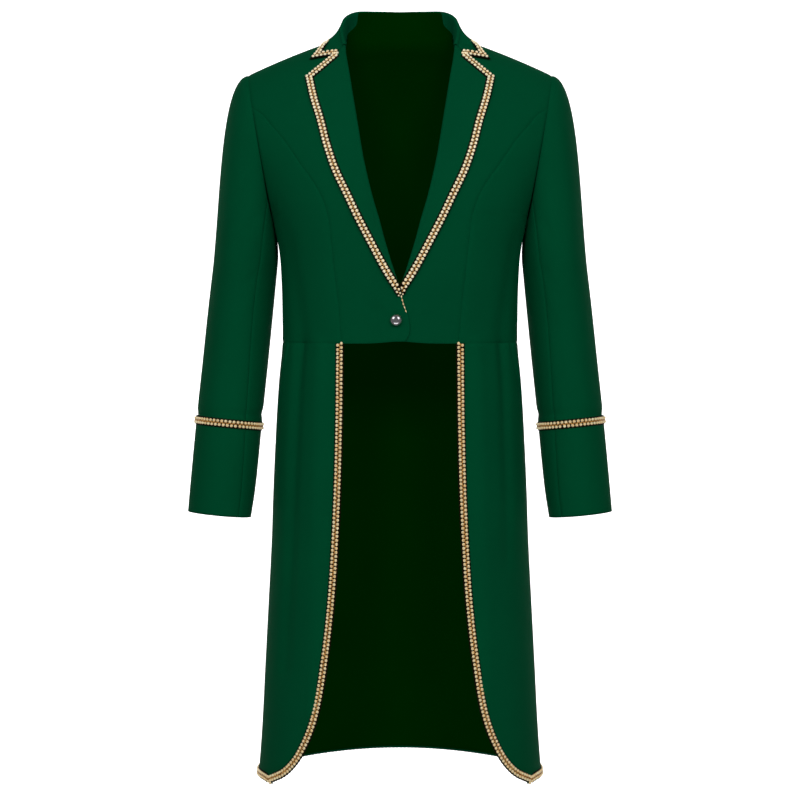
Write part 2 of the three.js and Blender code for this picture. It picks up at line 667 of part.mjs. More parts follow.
// Lifts a point to where a collar leaf lies on the coat, if it is lower than that: straight off the
// cloth, or to the front by the share given.
function restOnCoat(point, forwards) {
  const ground = coatAt(point.x, point.z, point.y > SHOULDER.y ? -1 : 1);
  const height = point.clone().sub(ground.point).dot(ground.normal);
  const lift = Math.max(COLLAR_CLOTH + COLLAR_LAID - height, 0);
  const ahead = vec(0, -lift / Math.max(-ground.normal.y, STEEPEST), 0);
  return point.add(ground.normal.multiplyScalar(lift).lerp(ahead, forwards));
}

function foldPoint(at) {
  const [x, y, z] = ['foldX', 'foldY', 'foldZ'].map((column) => lookup(COLLAR, 'at', column, at));
  return vec(x, y, z);
}

// The fold, the free edge, and the directions outwards and up across the fold.
function collarLine(at) {
  const fold = foldPoint(at);
  const ground = coatAt(
    lookup(COLLAR, 'at', 'edgeX', at),
    lookup(COLLAR, 'at', 'edgeZ', at),
    at < COLLAR_SHOULDER ? -1 : 1,
  );
  const edge = ground.point.clone().addScaledVector(ground.normal, COLLAR_CLOTH + COLLAR_LAID);
  const track = foldPoint(Math.min(at + 0.02, 1)).sub(foldPoint(Math.max(at - 0.02, 0))).normalize();
  if (at === 0) track.set(1, 0, 0);
  const outwards = edge.clone().sub(neckPoint(at));
  outwards.addScaledVector(track, -outwards.dot(track)).normalize();
  return { fold, edge, outwards, up: track.clone().cross(outwards).normalize() };
}

// A point on the fall: share 0 is beside the fold and 1 is the free edge.
function fallPoint(at, share) {
  const { fold, edge, outwards } = collarLine(at);
  const point = along(fold.addScaledVector(outwards, FOLD_RADIUS), edge, share);
  const nearShoulder = Math.exp(-(((at - FALL_HOLLOW.at) / FALL_HOLLOW.reach) ** 2));
  const hollow = FALL_HOLLOW.deep * Math.sin(Math.PI * share) * nearShoulder;
  const knee = share < KNEE.share ? share / KNEE.share : (1 - share) / (1 - KNEE.share);
  point.addScaledVector(outwards, -hollow);
  point.z -= KNEE.drop * knee * smoothstep(at, KNEE.from, 1);
  return share > 0 ? restOnCoat(point, smoothstep(at, FORWARDS.from, FORWARDS.full)) : point;
}

// A section through the collar: up the stand on the neck's side, over the fold and down the fall.
function collarSection(at) {
  const neck = neckPoint(at);
  const { fold, outwards, up } = collarLine(at);
  const overFold = (turn) => fold.clone()
    .addScaledVector(outwards, FOLD_RADIUS * Math.sin(rad(turn)))
    .addScaledVector(up, FOLD_RADIUS * Math.cos(rad(turn)));
  const standTop = overFold(-90);
  return [
    neck,
    along(neck, standTop, 0.5),
    standTop,
    overFold(-30),
    overFold(30),
    overFold(90),
    ...FALL_SHARES.map((share) => fallPoint(at, share)),
  ];
}

// Normals of a bare grid of points, from the points beside each one.
function withNormals(grid) {
  return grid.map((row, i) => row.map((point, j) => {
    const [below, above] = [grid[Math.max(i - 1, 0)][j], grid[Math.min(i + 1, grid.length - 1)][j]];
    const [left, right] = [row[Math.max(j - 1, 0)], row[Math.min(j + 1, row.length - 1)]];
    return { point, normal: above.clone().sub(below).cross(right.clone().sub(left)).normalize() };
  }));
}

function collarGrid() {
  const half = COLLAR_ROWS.map(collarSection);
  const other = half.slice(1).reverse().map((section) => section.map((p) => vec(-p.x, p.y, p.z)));
  return withNormals([...other, ...half]);
}

// ---- Lining -----------------------------------------------------------------------------------------
// It shows inside the back, from the waist to the top of the collar, and inside the tails.
const TAIL_LINING_COLUMNS = 14;
const LINING_LAID = 1.4; // gap between the cloth and its lining
const LINING_AT = [0, 0.1, 0.2, 0.3, 0.38, 0.42]; // the back lining's columns, by place round the collar
const LINING_NARROWS = 0.2; // above this level the lining draws in towards the neck
const LINING_LEVELS = BODICE_LEVELS.filter((level) => level < 0.85);
const STAND_SHARES = [0.12, 0.6, 0.97]; // rows of the lining up the collar's stand

function underPanel(spot) {
  const depth = CLOTH + LINING_LAID;
  return { point: spot.point.clone().addScaledVector(spot.normal, -depth), normal: spot.normal };
}

function flipped({ point, normal }) {
  return { point: vec(-point.x, point.y, point.z), normal: vec(-normal.x, normal.y, normal.z) };
}

function backLining() {
  const lastAt = LINING_AT[LINING_AT.length - 1];
  const bodiceRows = LINING_LEVELS.map((level) => {
    const narrow = smoothstep(level, LINING_NARROWS, 1);
    const edge = lerp(armholeEdge(-1)(level) - 1, angleAtX(-1, level, () => NECK_X), narrow);
    return LINING_AT.map((at) => underPanel(bodySurface(-1, (edge * at) / lastAt, level)));
  });
  const neckRow = LINING_AT.map((at) => {
    const neck = neckPoint(at);
    return underPanel({ point: neck, normal: coatAt(neck.x, neck.z, -1).normal });
  });
  const standRows = STAND_SHARES.map((share) => LINING_AT.map((at) => {
    const { fold, outwards } = collarLine(at);
    const point = along(neckPoint(at), fold.addScaledVector(outwards, -FOLD_RADIUS), share);
    return { point: point.addScaledVector(outwards, -LINING_LAID / 2), normal: outwards };
  }));
  const half = [...bodiceRows, neckRow, ...standRows];
  return wall(half.map((row) => [...row.slice(1).reverse().map(flipped), ...row]), LINING);
}

function tailLining() {
  const lastRow = 1 - LINING_HEM / (WAIST_Z - HEM_Z);
  const grid = [...TAIL_ROWS.slice(0, -1), lastRow].map((share) => {
    const seam = tailSeamAngle(share) + 0.5;
    return steps(TAIL_LINING_COLUMNS).map((across) => {
      const angle = lerp(seam, 360 - seam, across);
      const spot = underPanel(skirtSurface(Math.min(angle, 360 - angle), share));
      return angle > 180 ? flipped(spot) : spot;
    });
  });
  for (const spot of grid[0]) spot.point.z -= SEAM / 2;
  return wall(grid, LINING);
}

// ---- Braid ------------------------------------------------------------------------------------------
// A crowned strip laid on surface(u, v). path runs along its outer edge as [u, v], and inner is +1 or -1
// for the side of the path on which the strip lies, seen from outside.
function braid(surface, path, inner, { width = BRAID.width, closed = false } = {}) {
  const spots = path.map(([u, v]) => surface(u, v));
  const count = path.length;
  const rows = spots.map(({ point, normal }, i) => {
    const before = spots[closed ? (i + count - 1) % count : Math.max(i - 1, 0)].point;
    const after = spots[closed ? (i + 1) % count : Math.min(i + 1, count - 1)].point;
    const sides = [[before, point], [point, after]]
      .filter(([from, to]) => from !== to)
      .map(([from, to]) => normal.clone().cross(to.clone().sub(from)).normalize().multiplyScalar(inner));
    const [first, second] = [sides[0], sides[sides.length - 1]];
    const across = first.clone().add(second).multiplyScalar(width / (1 + first.dot(second)));
    const far = stepAcross(surface, path[i], across);
    return braidSection({ point, normal }, far);
  });
  return loft(rows, closed);
}

// The spot on the surface that lies about the given vector away from surface(u, v).
function stepAcross(surface, [u, v], vector) {
  const step = -2e-3;
  const here = surface(u, v).point;
  const alongU = surface(u + step, v).point.sub(here).divideScalar(step);
  const alongV = surface(u, v + step).point.sub(here).divideScalar(step);
  const [uu, uv, vv] = [alongU.dot(alongU), alongU.dot(alongV), alongV.dot(alongV)];
  const [wu, wv] = [alongU.dot(vector), alongV.dot(vector)];
  const determinant = uu * vv - uv * uv;
  return surface(u + (wu * vv - wv * uv) / determinant, v + (wv * uu - wu * uv) / determinant);
}

function braidSection(near, far) {
  const rise = (spot, height) => spot.point.clone().addScaledVector(spot.normal, height);
  const middle = along(near.point, far.point, 0.5);
  const up = near.normal.clone().add(far.normal).normalize();
  const top = BRAID.laid + BRAID.thick;
  return [
    rise(near, BRAID.laid),
    rise(near, top),
    middle.addScaledVector(up, top + BRAID.crown),
    rise(far, top),
    rise(far, BRAID.laid),
  ];
}

// A solid through rows of points, each row a closed section.
function loft(rows, closed = false) {
  const size = rows[0].length;
  const faces = [];
  const last = closed ? rows.length : rows.length - 1;
  for (let row = 0; row < last; row++) {
    const [here, next] = [row * size, ((row + 1) % rows.length) * size];
    for (let i = 0; i < size; i++) {
      const j = (i + 1) % size;
      faces.push([here + i, next + i, next + j], [here + i, next + j, here + j]);
    }
  }
  for (let i = 1; i < size - 1 && !closed; i++) {
    const end = (rows.length - 1) * size;
    faces.push([0, i, i + 1], [end, end + i + 1, end + i]);
  }
  return solid(rows.flat(), faces);
}

const LAPEL_TOP_SHARE = (NOTCH.x - 10 - GORGE.x) / (LAPEL_EDGE[0].x - GORGE.x);

function lapelBraid(lift) {
  const surface = (up, out) => lapelSurface(up, out, lift);
  const edge = LAPEL_ROWS.slice(1).map((up) => [up, 1]);
  const top = [0.78, 0.55, LAPEL_TOP_SHARE].map((out) => [1, out]);
  return braid(surface, [[0.012, 1], ...edge, ...top], 1);
}

// The collar's braid follows the collar's own points: along its front edge, round its tip and round its
// outer edge.
function collarBraid() {
  const grid = collarGrid();
  const [middle, last] = [(grid.length - 1) / 2, grid[0].length - 1];
  const spotAt = (row, column) => {
    const [i, j] = [Math.min(Math.floor(row), grid.length - 2), Math.min(Math.floor(column), last - 1)];
    const mix = (key) => along(
      along(grid[i][j][key], grid[i][j + 1][key], column - j),
      along(grid[i + 1][j][key], grid[i + 1][j + 1][key], column - j),
      row - i,
    );
    return { point: mix('point'), normal: mix('normal').normalize() };
  };
  // Walks from a spot by steps of (rows, columns) until it is a braid's width away.
  const walk = (row, column, rows, columns) => {
    const start = spotAt(row, column).point;
    const reach = (share) => spotAt(row + rows * share, column + columns * share).point.distanceTo(start);
    let share = 0;
    while (reach(share) < BRAID.width) share += 0.02;
    return share;
  };
  const half = [4.5 / 6, 1, 2].map((shares) => {
    const column = last - FALL_SHARES.length + shares + 1;
    return [spotAt(0, column), spotAt(walk(0, column, 1, 0), column)];
  });
  const tipRow = walk(0, last, 1, 0);
  half.push([spotAt(0, last), spotAt(tipRow, last - walk(tipRow, last, 0, -1))]);
  for (let row = Math.ceil(tipRow); row <= middle; row++) {
    half.push([spotAt(row, last), spotAt(row, last - walk(row, last, 0, -1))]);
  }
  const other = half.slice(0, -1).reverse().map((pair) => pair.map(flipped));
  return loft([...half, ...other].map(([near, far]) => braidSection(near, far)));
}

function tailBraid() {
  const edge = TAIL_ROWS.map((share) => [tailEdgeAngle(share), share]);
  const [start, seam, end] = [edge[edge.length - 1][0], tailSeamAngle(1), 179.85];
  const hem = [
    ...steps(TAIL_FRONT_COLUMNS).slice(1).map((share) => [lerp(start, seam, share), 1]),
    ...steps(TAIL_BACK_COLUMNS).slice(1).map((share) => [lerp(seam, end, share), 1]),
  ];
  return braid(skirtSurface, [...edge, ...hem], 1);
}

function cuffBraid() {
  const ring = [...FRONT_TURNS, ...BACK_TURNS.slice(1, -1)];
  const length = 1 + (CUFF_BRAID_Z - ARM[0].z) / (ARM[ARM.length - 1].z - ARM[0].z);
  return braid(sleeveSurface, ring.map((turn) => [turn, length]), 1, { closed: true });
}

// Only the rim of the lapel's braid shows on the front's edge below the break.
function frontEdgeBraid() {
  const { top, bottom, width } = FRONT_EDGE_BRAID;
  const surface = (x, z) => {
    const spot = coatAt(x, z);
    spot.point.addScaledVector(spot.normal, lapLift(spot.point));
    return spot;
  };
  const path = steps(5).map((share) => {
    const z = lerp(top, bottom, share);
    return [lookup(OVERLAP_EDGE, 'z', 'x', z) + 0.4, z];
  });
  return braid(surface, path, -1, { width });
}

// ---- Button -----------------------------------------------------------------------------------------
function revolved(profile, segments) {
  const rows = profile.map(({ radius, height }) => {
    return steps(segments).slice(1).map((share) => {
      const turn = 2 * Math.PI * share;
      return vec(radius * Math.cos(turn), radius * Math.sin(turn), height);
    });
  });
  const ends = [profile[0], profile[profile.length - 1]].map(({ height }) => vec(0, 0, height));
  const faces = [];
  const centre = rows.length * segments;
  for (let i = 0; i < segments; i++) {
    const j = (i + 1) % segments;
    const lastRow = (rows.length - 1) * segments;
    faces.push([centre, j, i], [centre + 1, lastRow + i, lastRow + j]);
    for (let row = 0; row < lastRow; row += segments) {
      faces.push([row + i, row + j, row + segments + j], [row + i, row + segments + j, row + segments + i]);
    }
  }
  return solid([...rows.flat(), ...ends], faces);
}

function button() {
  const { radius, dome, rim, shankRadius, shank } = BUTTON;
  const domeRows = [0, 25, 48, 68, 83].map((turn) => ({
    radius: radius * Math.cos(rad(turn)),
    height: shank + rim + dome * Math.sin(rad(turn)),
  }));
  const profile = [
    { radius: shankRadius, height: 0 },
    { radius: shankRadius, height: shank },
    { radius: radius - rim, height: shank },
    ...domeRows,
  ];
  const { point, normal } = coatAt(-BUTTON.x, BUTTON.z);
  point.addScaledVector(normal, lapLift(point) + LAID);
  const turned = new THREE.Quaternion().setFromUnitVectors(vec(0, 0, 1), normal);
  return mirrored(revolved(profile, 24).applyQuaternion(turned).translate(point.x, point.y, point.z));
}

// ---- Assembly ---------------------------------------------------------------------------------------
const green = new THREE.MeshStandardMaterial({ color: 0x00432a, roughness: 0.8 });
const liningGreen = new THREE.MeshStandardMaterial({ color: 0x021d04, roughness: 0.6 });
const gold = new THREE.MeshStandardMaterial({ color: 0xc9a15a, roughness: 0.4, metalness: 0.6 });
const silver = new THREE.MeshStandardMaterial({ color: 0xd8d4d6, roughness: 0.15, metalness: 1 });

const coat = new THREE.Group();

function add(name, geometry, material) {
  const mesh = new THREE.Mesh(geometry, material);
  mesh.name = name;
  coat.add(mesh);
}

function addPair(name, geometry, material) {
  add(`${name}_left`, geometry, material);
  add(`${name}_right`, mirrored(geometry), material);
}

const noLift = () => 0;
add('front_left', frontPanel(UNDERLAP_EDGE, noLift), green);
add('front_right', mirrored(frontPanel(OVERLAP_EDGE, lapLift)), green);
addPair('side_front', sideFrontPanel(), green);
addPair('back', backPanel(), green);
addPair('tail_front', tailFront(), green);
addPair('tail_back', tailBack(), green);
addPair('sleeve_upper', upperSleeve(), green);
addPair('sleeve_under', underSleeve(), green);
add('lapel_left', lapel(noLift), green);
add('lapel_right', mirrored(lapel(lapLift)), green);
add('collar', wall(collarGrid(), COLLAR_CLOTH), green);
add('lining_back', backLining(), liningGreen);
add('lining_tails', tailLining(), liningGreen);
add('braid_lapel_left', lapelBraid(noLift), gold);
add('braid_lapel_right', mirrored(lapelBraid(lapLift)), gold);
add('braid_front_edge', mirrored(frontEdgeBraid()), gold);
add('braid_collar', collarBraid(), gold);
addPair('braid_tail', tailBraid(), gold);
addPair('braid_cuff', cuffBraid(), gold);
add('button', button(), silver);

export default coat;
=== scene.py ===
"""The tailcoat's looks: cloth shells, linings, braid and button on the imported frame."""

import math

import bpy
import numpy as np
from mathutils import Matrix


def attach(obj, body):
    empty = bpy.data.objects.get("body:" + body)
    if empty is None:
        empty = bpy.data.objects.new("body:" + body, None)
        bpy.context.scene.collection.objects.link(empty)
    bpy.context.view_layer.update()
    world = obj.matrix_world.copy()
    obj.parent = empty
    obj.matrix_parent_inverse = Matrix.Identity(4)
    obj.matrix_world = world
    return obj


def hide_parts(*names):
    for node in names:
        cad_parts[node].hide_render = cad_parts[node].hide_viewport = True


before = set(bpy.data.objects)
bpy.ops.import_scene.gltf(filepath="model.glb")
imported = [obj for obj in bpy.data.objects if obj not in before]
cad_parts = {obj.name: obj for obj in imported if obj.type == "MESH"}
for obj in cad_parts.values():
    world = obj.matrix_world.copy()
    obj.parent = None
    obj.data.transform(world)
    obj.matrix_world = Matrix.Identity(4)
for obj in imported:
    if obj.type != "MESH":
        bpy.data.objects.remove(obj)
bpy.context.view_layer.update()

# ---- Sizes, in millimetres: the coat's own, as its solids have them ------------------------------------
CLOTH = 1.6  # thick, with its fusing
LINING = 0.8
LEAF = 2.0  # a lapel or collar leaf
NECK_X = 77
SHOULDER_X, SHOULDER_Y, SHOULDER_Z, SHOULDER_BOW, SHOULDER_ROUND = 220, 5, -56, 2.5, 40
UNDERARM_X, UNDERARM_Z = 183, -268
WAIST_Z, HEM_Z, HEM_RISE, HEM_DROP = -443, -1065, 6, 2
DIP_FRONT, DIP_CENTRE, DIP_REACH = 6, 3, 28  # the waist seam's dip over the front
TIP_DROP, TIP_ANGLE, TIP_SPREAD = 3.2, 62.5, 5.5  # the hem's small point at each tail's front corner
BREAK_Z, BREAK_LEVEL, NAPE_LEVEL = -370, -0.565, 0.925
PRINCESS_TOP = 0.74
SLEEVE_SEAM_FRONT, SLEEVE_SEAM_BACK = 0.13, 0.4
BRAID_WIDTH = 10
CUFF_BRAID_Z = -555
NOTCH_X, GORGE_X, GORGE_Z = 97.7, 78, -22
COLLAR_SHOULDER = 0.6
SQUARE = 0.7  # of the section at the underarm and above


def table(columns, *rows):
    """A table with named columns, a row for each section, sorted by its first column."""
    order = np.array(sorted(rows), float)
    return dict(zip(columns.split(), order.T))


FORM = table(
    "z side front back square",
    (-268, 183, 122, 112, 0.70), (-315, 174, 121, 108, 0.72), (-360, 171, 118, 101, 0.75),
    (-405, 170, 114, 93, 0.78), (-446, 170, 111, 89, 0.80), (-500, 175, 113, 98, 0.82),
    (-563, 179, 115, 110, 0.84), (-650, 183, 118, 121, 0.86), (-737, 186, 120, 130, 0.88),
    (-824, 190.5, 123, 139, 0.90), (-911, 195, 125, 148, 0.92), (-998, 199.5, 128, 156, 0.94),
    (-1068, 204.5, 130, 162, 0.95),
)
ROLL_LINE = table(
    "z x", (0, 77), (-20, 78), (-69, 70.5), (-133, 60), (-195, 49.5), (-248, 37), (-275, 29),
    (-305, 21), (-349, 7.4), (BREAK_Z, 0),
)
PRINCESS_SEAM = table(
    "z x", (-112, 210), (-121, 197), (-138, 183), (-161, 164), (-198, 139), (-217, 125),
    (-242, 110.5), (-270, 101), (-305, 96.5), (-347, 92), (-388, 87), (-449, 81.5),
)
OVERLAP_EDGE = table(
    "z x", (BREAK_Z, 0), (-393, -5.5), (-406, -10), (-420, -13), (-436, -12.5), (-449, -5),
)
UNDERLAP_EDGE = table("z x", (BREAK_Z, 0), (-388, -12), (-400, -18), (-449, -18))
LAPEL_EDGE = table(
    "z x", (-69.3, 132.3), (-105, 124.5), (-140, 114), (-175, 105), (-210, 93), (-244, 77),
    (-278, 61), (-311, 44), (-354, 20.5), (-368, 11.5), (-378, 5),
)
TAIL_EDGE = table(
    "z x", (-449, 79), (-560, 80), (-673, 83), (-784, 89), (-840, 94), (-896, 101), (-951, 110),
    (-980, 117.5), (-1008, 128.5), (-1037, 145), (-1056, 163), (-1067, 181),
)
TAIL_SIDE_SEAM = table("z angle", (-443, 67), (-500, 75), (-600, 88), (-750, 95), (-1068, 100))
ARM = table(
    "z x y wide deep tilt",
    (-331, 224, 2, 46.5, 66, 0), (-400, 231.5, 4, 47, 62, 0.05), (-470, 238.5, 2, 47, 58, 0.09),
    (-541, 245.5, -4, 47, 54, 0.1), (-610, 251.5, -11, 47, 50, 0.1),
    (-655, 255.7, -15, 46.5, 48, 0.1), (-691, 259.8, -18, 45.2, 46.5, 0.1),
)
ARM_TOP, ARM_END = -331, -691
FRONT_SEAM_ANGLE = table(
    "z angle", (-268, 138), (-331, 124), (-400, 120), (-541, 126), (-691, 133),
)
COLLAR = table(
    "at foldX foldY foldZ edgeX edgeZ",
    (0, 0, 46, 42.3, 0, -9), (0.22, 36, 41, 42, 45, -10.5), (0.42, 64, 25, 38, 83, -13),
    (0.6, 79, 5, 26, 107, -11.5), (0.67, 82, -2, 18.5, 111, -19.5),
    (0.74, 84, -9, 11, 114.5, -24.5), (0.87, 83, -23, -5, 121, -34),
    (1, 79.5, -36.5, -19.5, 127.3, -41.3),
)
OVER = {1: dict(rise=2.2, turn=1.7, armhole=0.74), -1: dict(rise=2.6, turn=1.7, armhole=0.78)}
DEPTH = {1: "front", -1: "back"}
BODICE_LENGTH, SKIRT_LENGTH = UNDERARM_Z - WAIST_Z, WAIST_Z - HEM_Z
MIRROR = np.array([-1, 1, 1])  # takes a point to the other side of the coat


# ---- Small helpers ------------------------------------------------------------------------------------
def hermite(start, end, leave, arrive, t):
    """A curve from start to end, with the directions in which it leaves and arrives."""
    return (
        start * (2 * t**3 - 3 * t**2 + 1) + leave * (t**3 - 2 * t**2 + t)
        + end * (3 * t**2 - 2 * t**3) + arrive * (t**3 - t**2)
    )


def lookup(rows, column, value):
    """A smooth curve through one column of a table, read at values of its first column."""
    at, y = next(iter(rows.values())), rows[column]
    slopes = np.diff(y) / np.diff(at)
    ends = np.concatenate([[slopes[0]], (slopes[:-1] + slopes[1:]) / 2, [slopes[-1]]])
    v = np.clip(value, at[0], at[-1])
    i = np.clip(np.searchsorted(at, v, side="right") - 1, 0, len(at) - 2)
    span = at[i + 1] - at[i]
    return hermite(y[i], y[i + 1], span * ends[i], span * ends[i + 1], (v - at[i]) / span)


def vec(x, y, z):
    return np.stack(np.broadcast_arrays(*(np.asarray(c, float) for c in (x, y, z))), -1)


def unit(v):
    return v / np.maximum(np.linalg.norm(v, axis=-1, keepdims=True), 1e-9)


def dot(a, b):
    return (a * b).sum(-1)


def smooth(x, low, high):
    t = np.clip((x - low) / (high - low), 0, 1)
    return t * t * (3 - 2 * t)


def sin(angle):
    return np.sin(np.radians(angle))


def cos(angle):
    return np.cos(np.radians(angle))


def lerp(a, b, t):
    return a + (b - a) * t


def normal_of(surface, u, v, outward, step=1e-3):
    """Unit normals of surface(u, v), turned to the side that outward(points) points to."""
    across_u = surface(u + step, v) - surface(u - step, v)
    across_v = surface(u, v + step) - surface(u, v - step)
    normal = unit(np.cross(across_u, across_v))
    return np.where(dot(normal, outward(surface(u, v)))[..., None] < 0, -normal, normal)


def even(curve, start, end, step):
    """Values from start to end at which points of curve(value) are about step mm apart."""
    fine = np.linspace(start, end, 1500)
    lengths = np.linalg.norm(np.diff(curve(fine), axis=0), axis=1)
    run = np.concatenate([[0], np.cumsum(lengths)])
    return np.interp(np.linspace(0, run[-1], max(int(run[-1] / step), 2) + 1), run, fine)


def joined(*parts):
    """Rising values joined into one list, without those that fall on each other."""
    values = np.sort(np.concatenate([np.atleast_1d(p) for p in parts]))
    return values[np.concatenate([[True], np.diff(values) > 1e-5])]


# ---- The form of the coat -----------------------------------------------------------------------------
def waist_z(face, angle):
    x = lookup(FORM, "side", WAIST_Z) * sin(angle)
    front = WAIST_Z - DIP_FRONT * np.maximum(cos(angle), 0) + DIP_CENTRE * np.exp(-((x / DIP_REACH) ** 2))
    return np.where(np.asarray(face) > 0, front, WAIST_Z)


def ring_point(face, angle, z):
    around = np.maximum(cos(angle), 0) ** lookup(FORM, "square", z)
    front = np.asarray(face) > 0
    depth = np.where(front, lookup(FORM, "front", z), lookup(FORM, "back", z))
    return vec(lookup(FORM, "side", z) * sin(angle), -np.where(front, 1, -1) * depth * around, z)


def depth_above(face, level):
    over = OVER[face]
    full = lookup(FORM, DEPTH[face], UNDERARM_Z)
    return full * (1 - np.clip(level, 0, 1) ** over["rise"]) ** (1 / over["turn"])


def armhole_x(level):
    return lerp(UNDERARM_X, SHOULDER_X, level)


def armhole_share(face, level):
    return OVER[face]["armhole"] * np.cbrt(np.clip(level, 0, 1))


def armhole_angle(face, level):
    return np.degrees(np.arccos(armhole_share(face, level) ** (1 / SQUARE)))


def shoulder_z(x):
    def rounded(at):
        return np.hypot(at, SHOULDER_ROUND)

    slope = SHOULDER_Z / (rounded(SHOULDER_X) - rounded(NECK_X))
    share = np.clip((np.abs(x) - NECK_X) / (SHOULDER_X - NECK_X), 0, 1)
    return slope * (rounded(x) - rounded(NECK_X)) + SHOULDER_BOW * 4 * share * (1 - share)


def body_point(face, angle, level):
    angle, level = np.broadcast_arrays(np.asarray(angle, float), np.asarray(level, float))
    low = ring_point(face, angle, UNDERARM_Z + np.minimum(level, 0) * (UNDERARM_Z - waist_z(face, angle)))
    high = np.maximum(level, 0)
    wide = armhole_x(high) / sin(armhole_angle(face, high))
    x = wide * sin(angle)
    around = np.maximum(cos(angle), 0) ** SQUARE
    y = SHOULDER_Y * high - face * depth_above(face, high) * around
    top = shoulder_z(x / armhole_x(high) * SHOULDER_X)
    return np.where(level[..., None] <= 0, low, vec(x, y, lerp(UNDERARM_Z, top, high)))


def from_body(point):
    return vec(point[..., 0], point[..., 1] - SHOULDER_Y, 0 * point[..., 0])


def body_normal(face, angle, level):
    safe = np.where(level > 0, np.clip(level, 0.004, 0.996), np.clip(level, -0.998, -0.002))
    return normal_of(lambda u, v: body_point(face, u, v), np.clip(angle, -88, 88), safe, from_body)


def angle_at_x(face, level, x_at_height):
    """The angle at which a row of the body reaches the x that an edge has at that height."""
    level = np.asarray(level, float)
    wide = body_point(face, 90 + 0 * level, level)[..., 0]
    angle = 20 + 0 * level
    for _ in range(14):
        x = x_at_height(body_point(face, angle, level)[..., 2])
        angle = np.degrees(np.arcsin(np.clip(x / wide, -1, 1)))
    return angle


def coat_at(x, z, face=1):
    """The coat's surface, and its normal, at points given by x and height."""
    x, z = np.broadcast_arrays(np.asarray(x, float), np.asarray(z, float))
    level = 0.5 + 0 * x
    for _ in range(40):
        wide = body_point(face, 90 + 0 * level, level)[..., 0]
        angle = np.degrees(np.arcsin(np.clip(x / wide, -1, 1)))
        height = body_point(face, angle, level)[..., 2]
        scale = np.where(level > 0, SHOULDER_Z - UNDERARM_Z, UNDERARM_Z - WAIST_Z)
        level = np.clip(level + 0.8 * (z - height) / scale, -1, 1)
    return body_point(face, angle, level), body_normal(face, angle, level)


def skirt_point(angle, share):
    angle, share = np.broadcast_arrays(np.asarray(angle, float), np.asarray(share, float))
    face = np.where(angle <= 90, 1, -1)
    turned = np.where(face > 0, angle, 180 - angle)
    hem = HEM_Z - HEM_DROP + HEM_RISE * np.maximum(-cos(angle), 0) ** 4
    hem = hem - TIP_DROP * np.exp(-(((angle - TIP_ANGLE) / TIP_SPREAD) ** 2))
    return ring_point(face, turned, lerp(waist_z(face, turned), hem, share))


def skirt_normal(angle, share):
    return normal_of(skirt_point, np.clip(angle, -88, 178), np.clip(share, 0.002, 0.998), from_body)


def tail_edge_angle(share):
    share = np.asarray(share, float)
    angle = 40 + 0 * share
    for _ in range(14):
        z = skirt_point(angle, share)[..., 2]
        angle = np.degrees(np.arcsin(lookup(TAIL_EDGE, "x", z) / lookup(FORM, "side", z)))
    return angle


def tail_seam_angle(share):
    return lookup(TAIL_SIDE_SEAM, "angle", lerp(WAIST_Z, HEM_Z, share))


def level_turn(level):
    return np.degrees(np.arccos(2 * level - 1))


SEAM_TURN_FRONT = level_turn(SLEEVE_SEAM_FRONT)
SEAM_TURN_BACK = -level_turn(SLEEVE_SEAM_BACK)


def armhole_point(turn):
    level = (1 + cos(turn)) / 2
    fronts = [SHOULDER_Y * level - f * depth_above(f, level) * armhole_share(f, level) for f in (1, -1)]
    y = np.where(sin(turn) >= 0, fronts[0], fronts[1])
    return vec(armhole_x(level), y, lerp(UNDERARM_Z, SHOULDER_Z, level))


def turn_at(turn, z):
    """Moves the columns in front round, so that the front seam runs where it is seen."""
    seam = lookup(FRONT_SEAM_ANGLE, "angle", z)
    before = turn * seam / SEAM_TURN_FRONT
    after = 180 - (180 - turn) * (180 - seam) / (180 - SEAM_TURN_FRONT)
    moved = np.where(turn < SEAM_TURN_FRONT, before, after)
    return np.where((turn > 180) | (turn < 0), turn, moved)


def arm_point(turn, z):
    ring = {column: lookup(ARM, column, z) for column in ("x", "y", "wide", "deep", "tilt")}
    moved = turn_at(turn, z)
    outwards = ring["wide"] * cos(moved)
    return vec(ring["x"] + outwards, ring["y"] - ring["deep"] * sin(moved), z + ring["tilt"] * outwards)


CAP_TOP_OUT, CAP_TOP_DOWN, CAP_UNDER_OUT, CAP_UNDER_DOWN = 118, 16, -11, 50
CAP_FULL, CAP_END_OUT, CAP_PULL = 12, 0.1, 1.2
CAP_START = 0.15  # mm from the armhole's edge to the cap


def cap_point(turn, share):
    start, end = armhole_point(turn) + [CAP_START, 0, 0], arm_point(turn, ARM_TOP + 0 * turn)
    high = (1 + cos(turn)) / 2
    leave = vec(
        lerp(CAP_UNDER_OUT, CAP_TOP_OUT, high), -CAP_FULL * sin(turn),
        -lerp(CAP_UNDER_DOWN, CAP_TOP_DOWN, high),
    )
    arrive = vec(CAP_END_OUT, 0, -1) * (CAP_PULL * (start[..., 2] - end[..., 2]))[..., None]
    return hermite(start, end, leave, arrive, np.asarray(share, float)[..., None])


def sleeve_point(turn, length):
    """length 0 to 1 runs down the cap, and 1 to 2 down the arm to the cuff."""
    turn, length = np.broadcast_arrays(np.asarray(turn, float), np.asarray(length, float))
    cap = cap_point(turn, np.minimum(length, 1))
    arm = arm_point(turn, lerp(ARM_TOP, ARM_END, np.maximum(length, 1) - 1))
    return np.where(length[..., None] <= 1, cap, arm)


def sleeve_normal(turn, length):
    in_cap = np.array([ARM["x"][-1], ARM["y"][-1], lerp(UNDERARM_Z, SHOULDER_Z, 0.1)])
    in_arm = (sleeve_point(0 * turn, length) + sleeve_point(180 + 0 * turn, length)) / 2
    middle = np.where((length < 1)[..., None], in_cap, in_arm)
    safe_turn = np.where(np.abs(turn - 180) < 0.5, 179.5, turn)
    return normal_of(sleeve_point, safe_turn, np.clip(length, 0.06, 1.996), lambda p: p - middle)


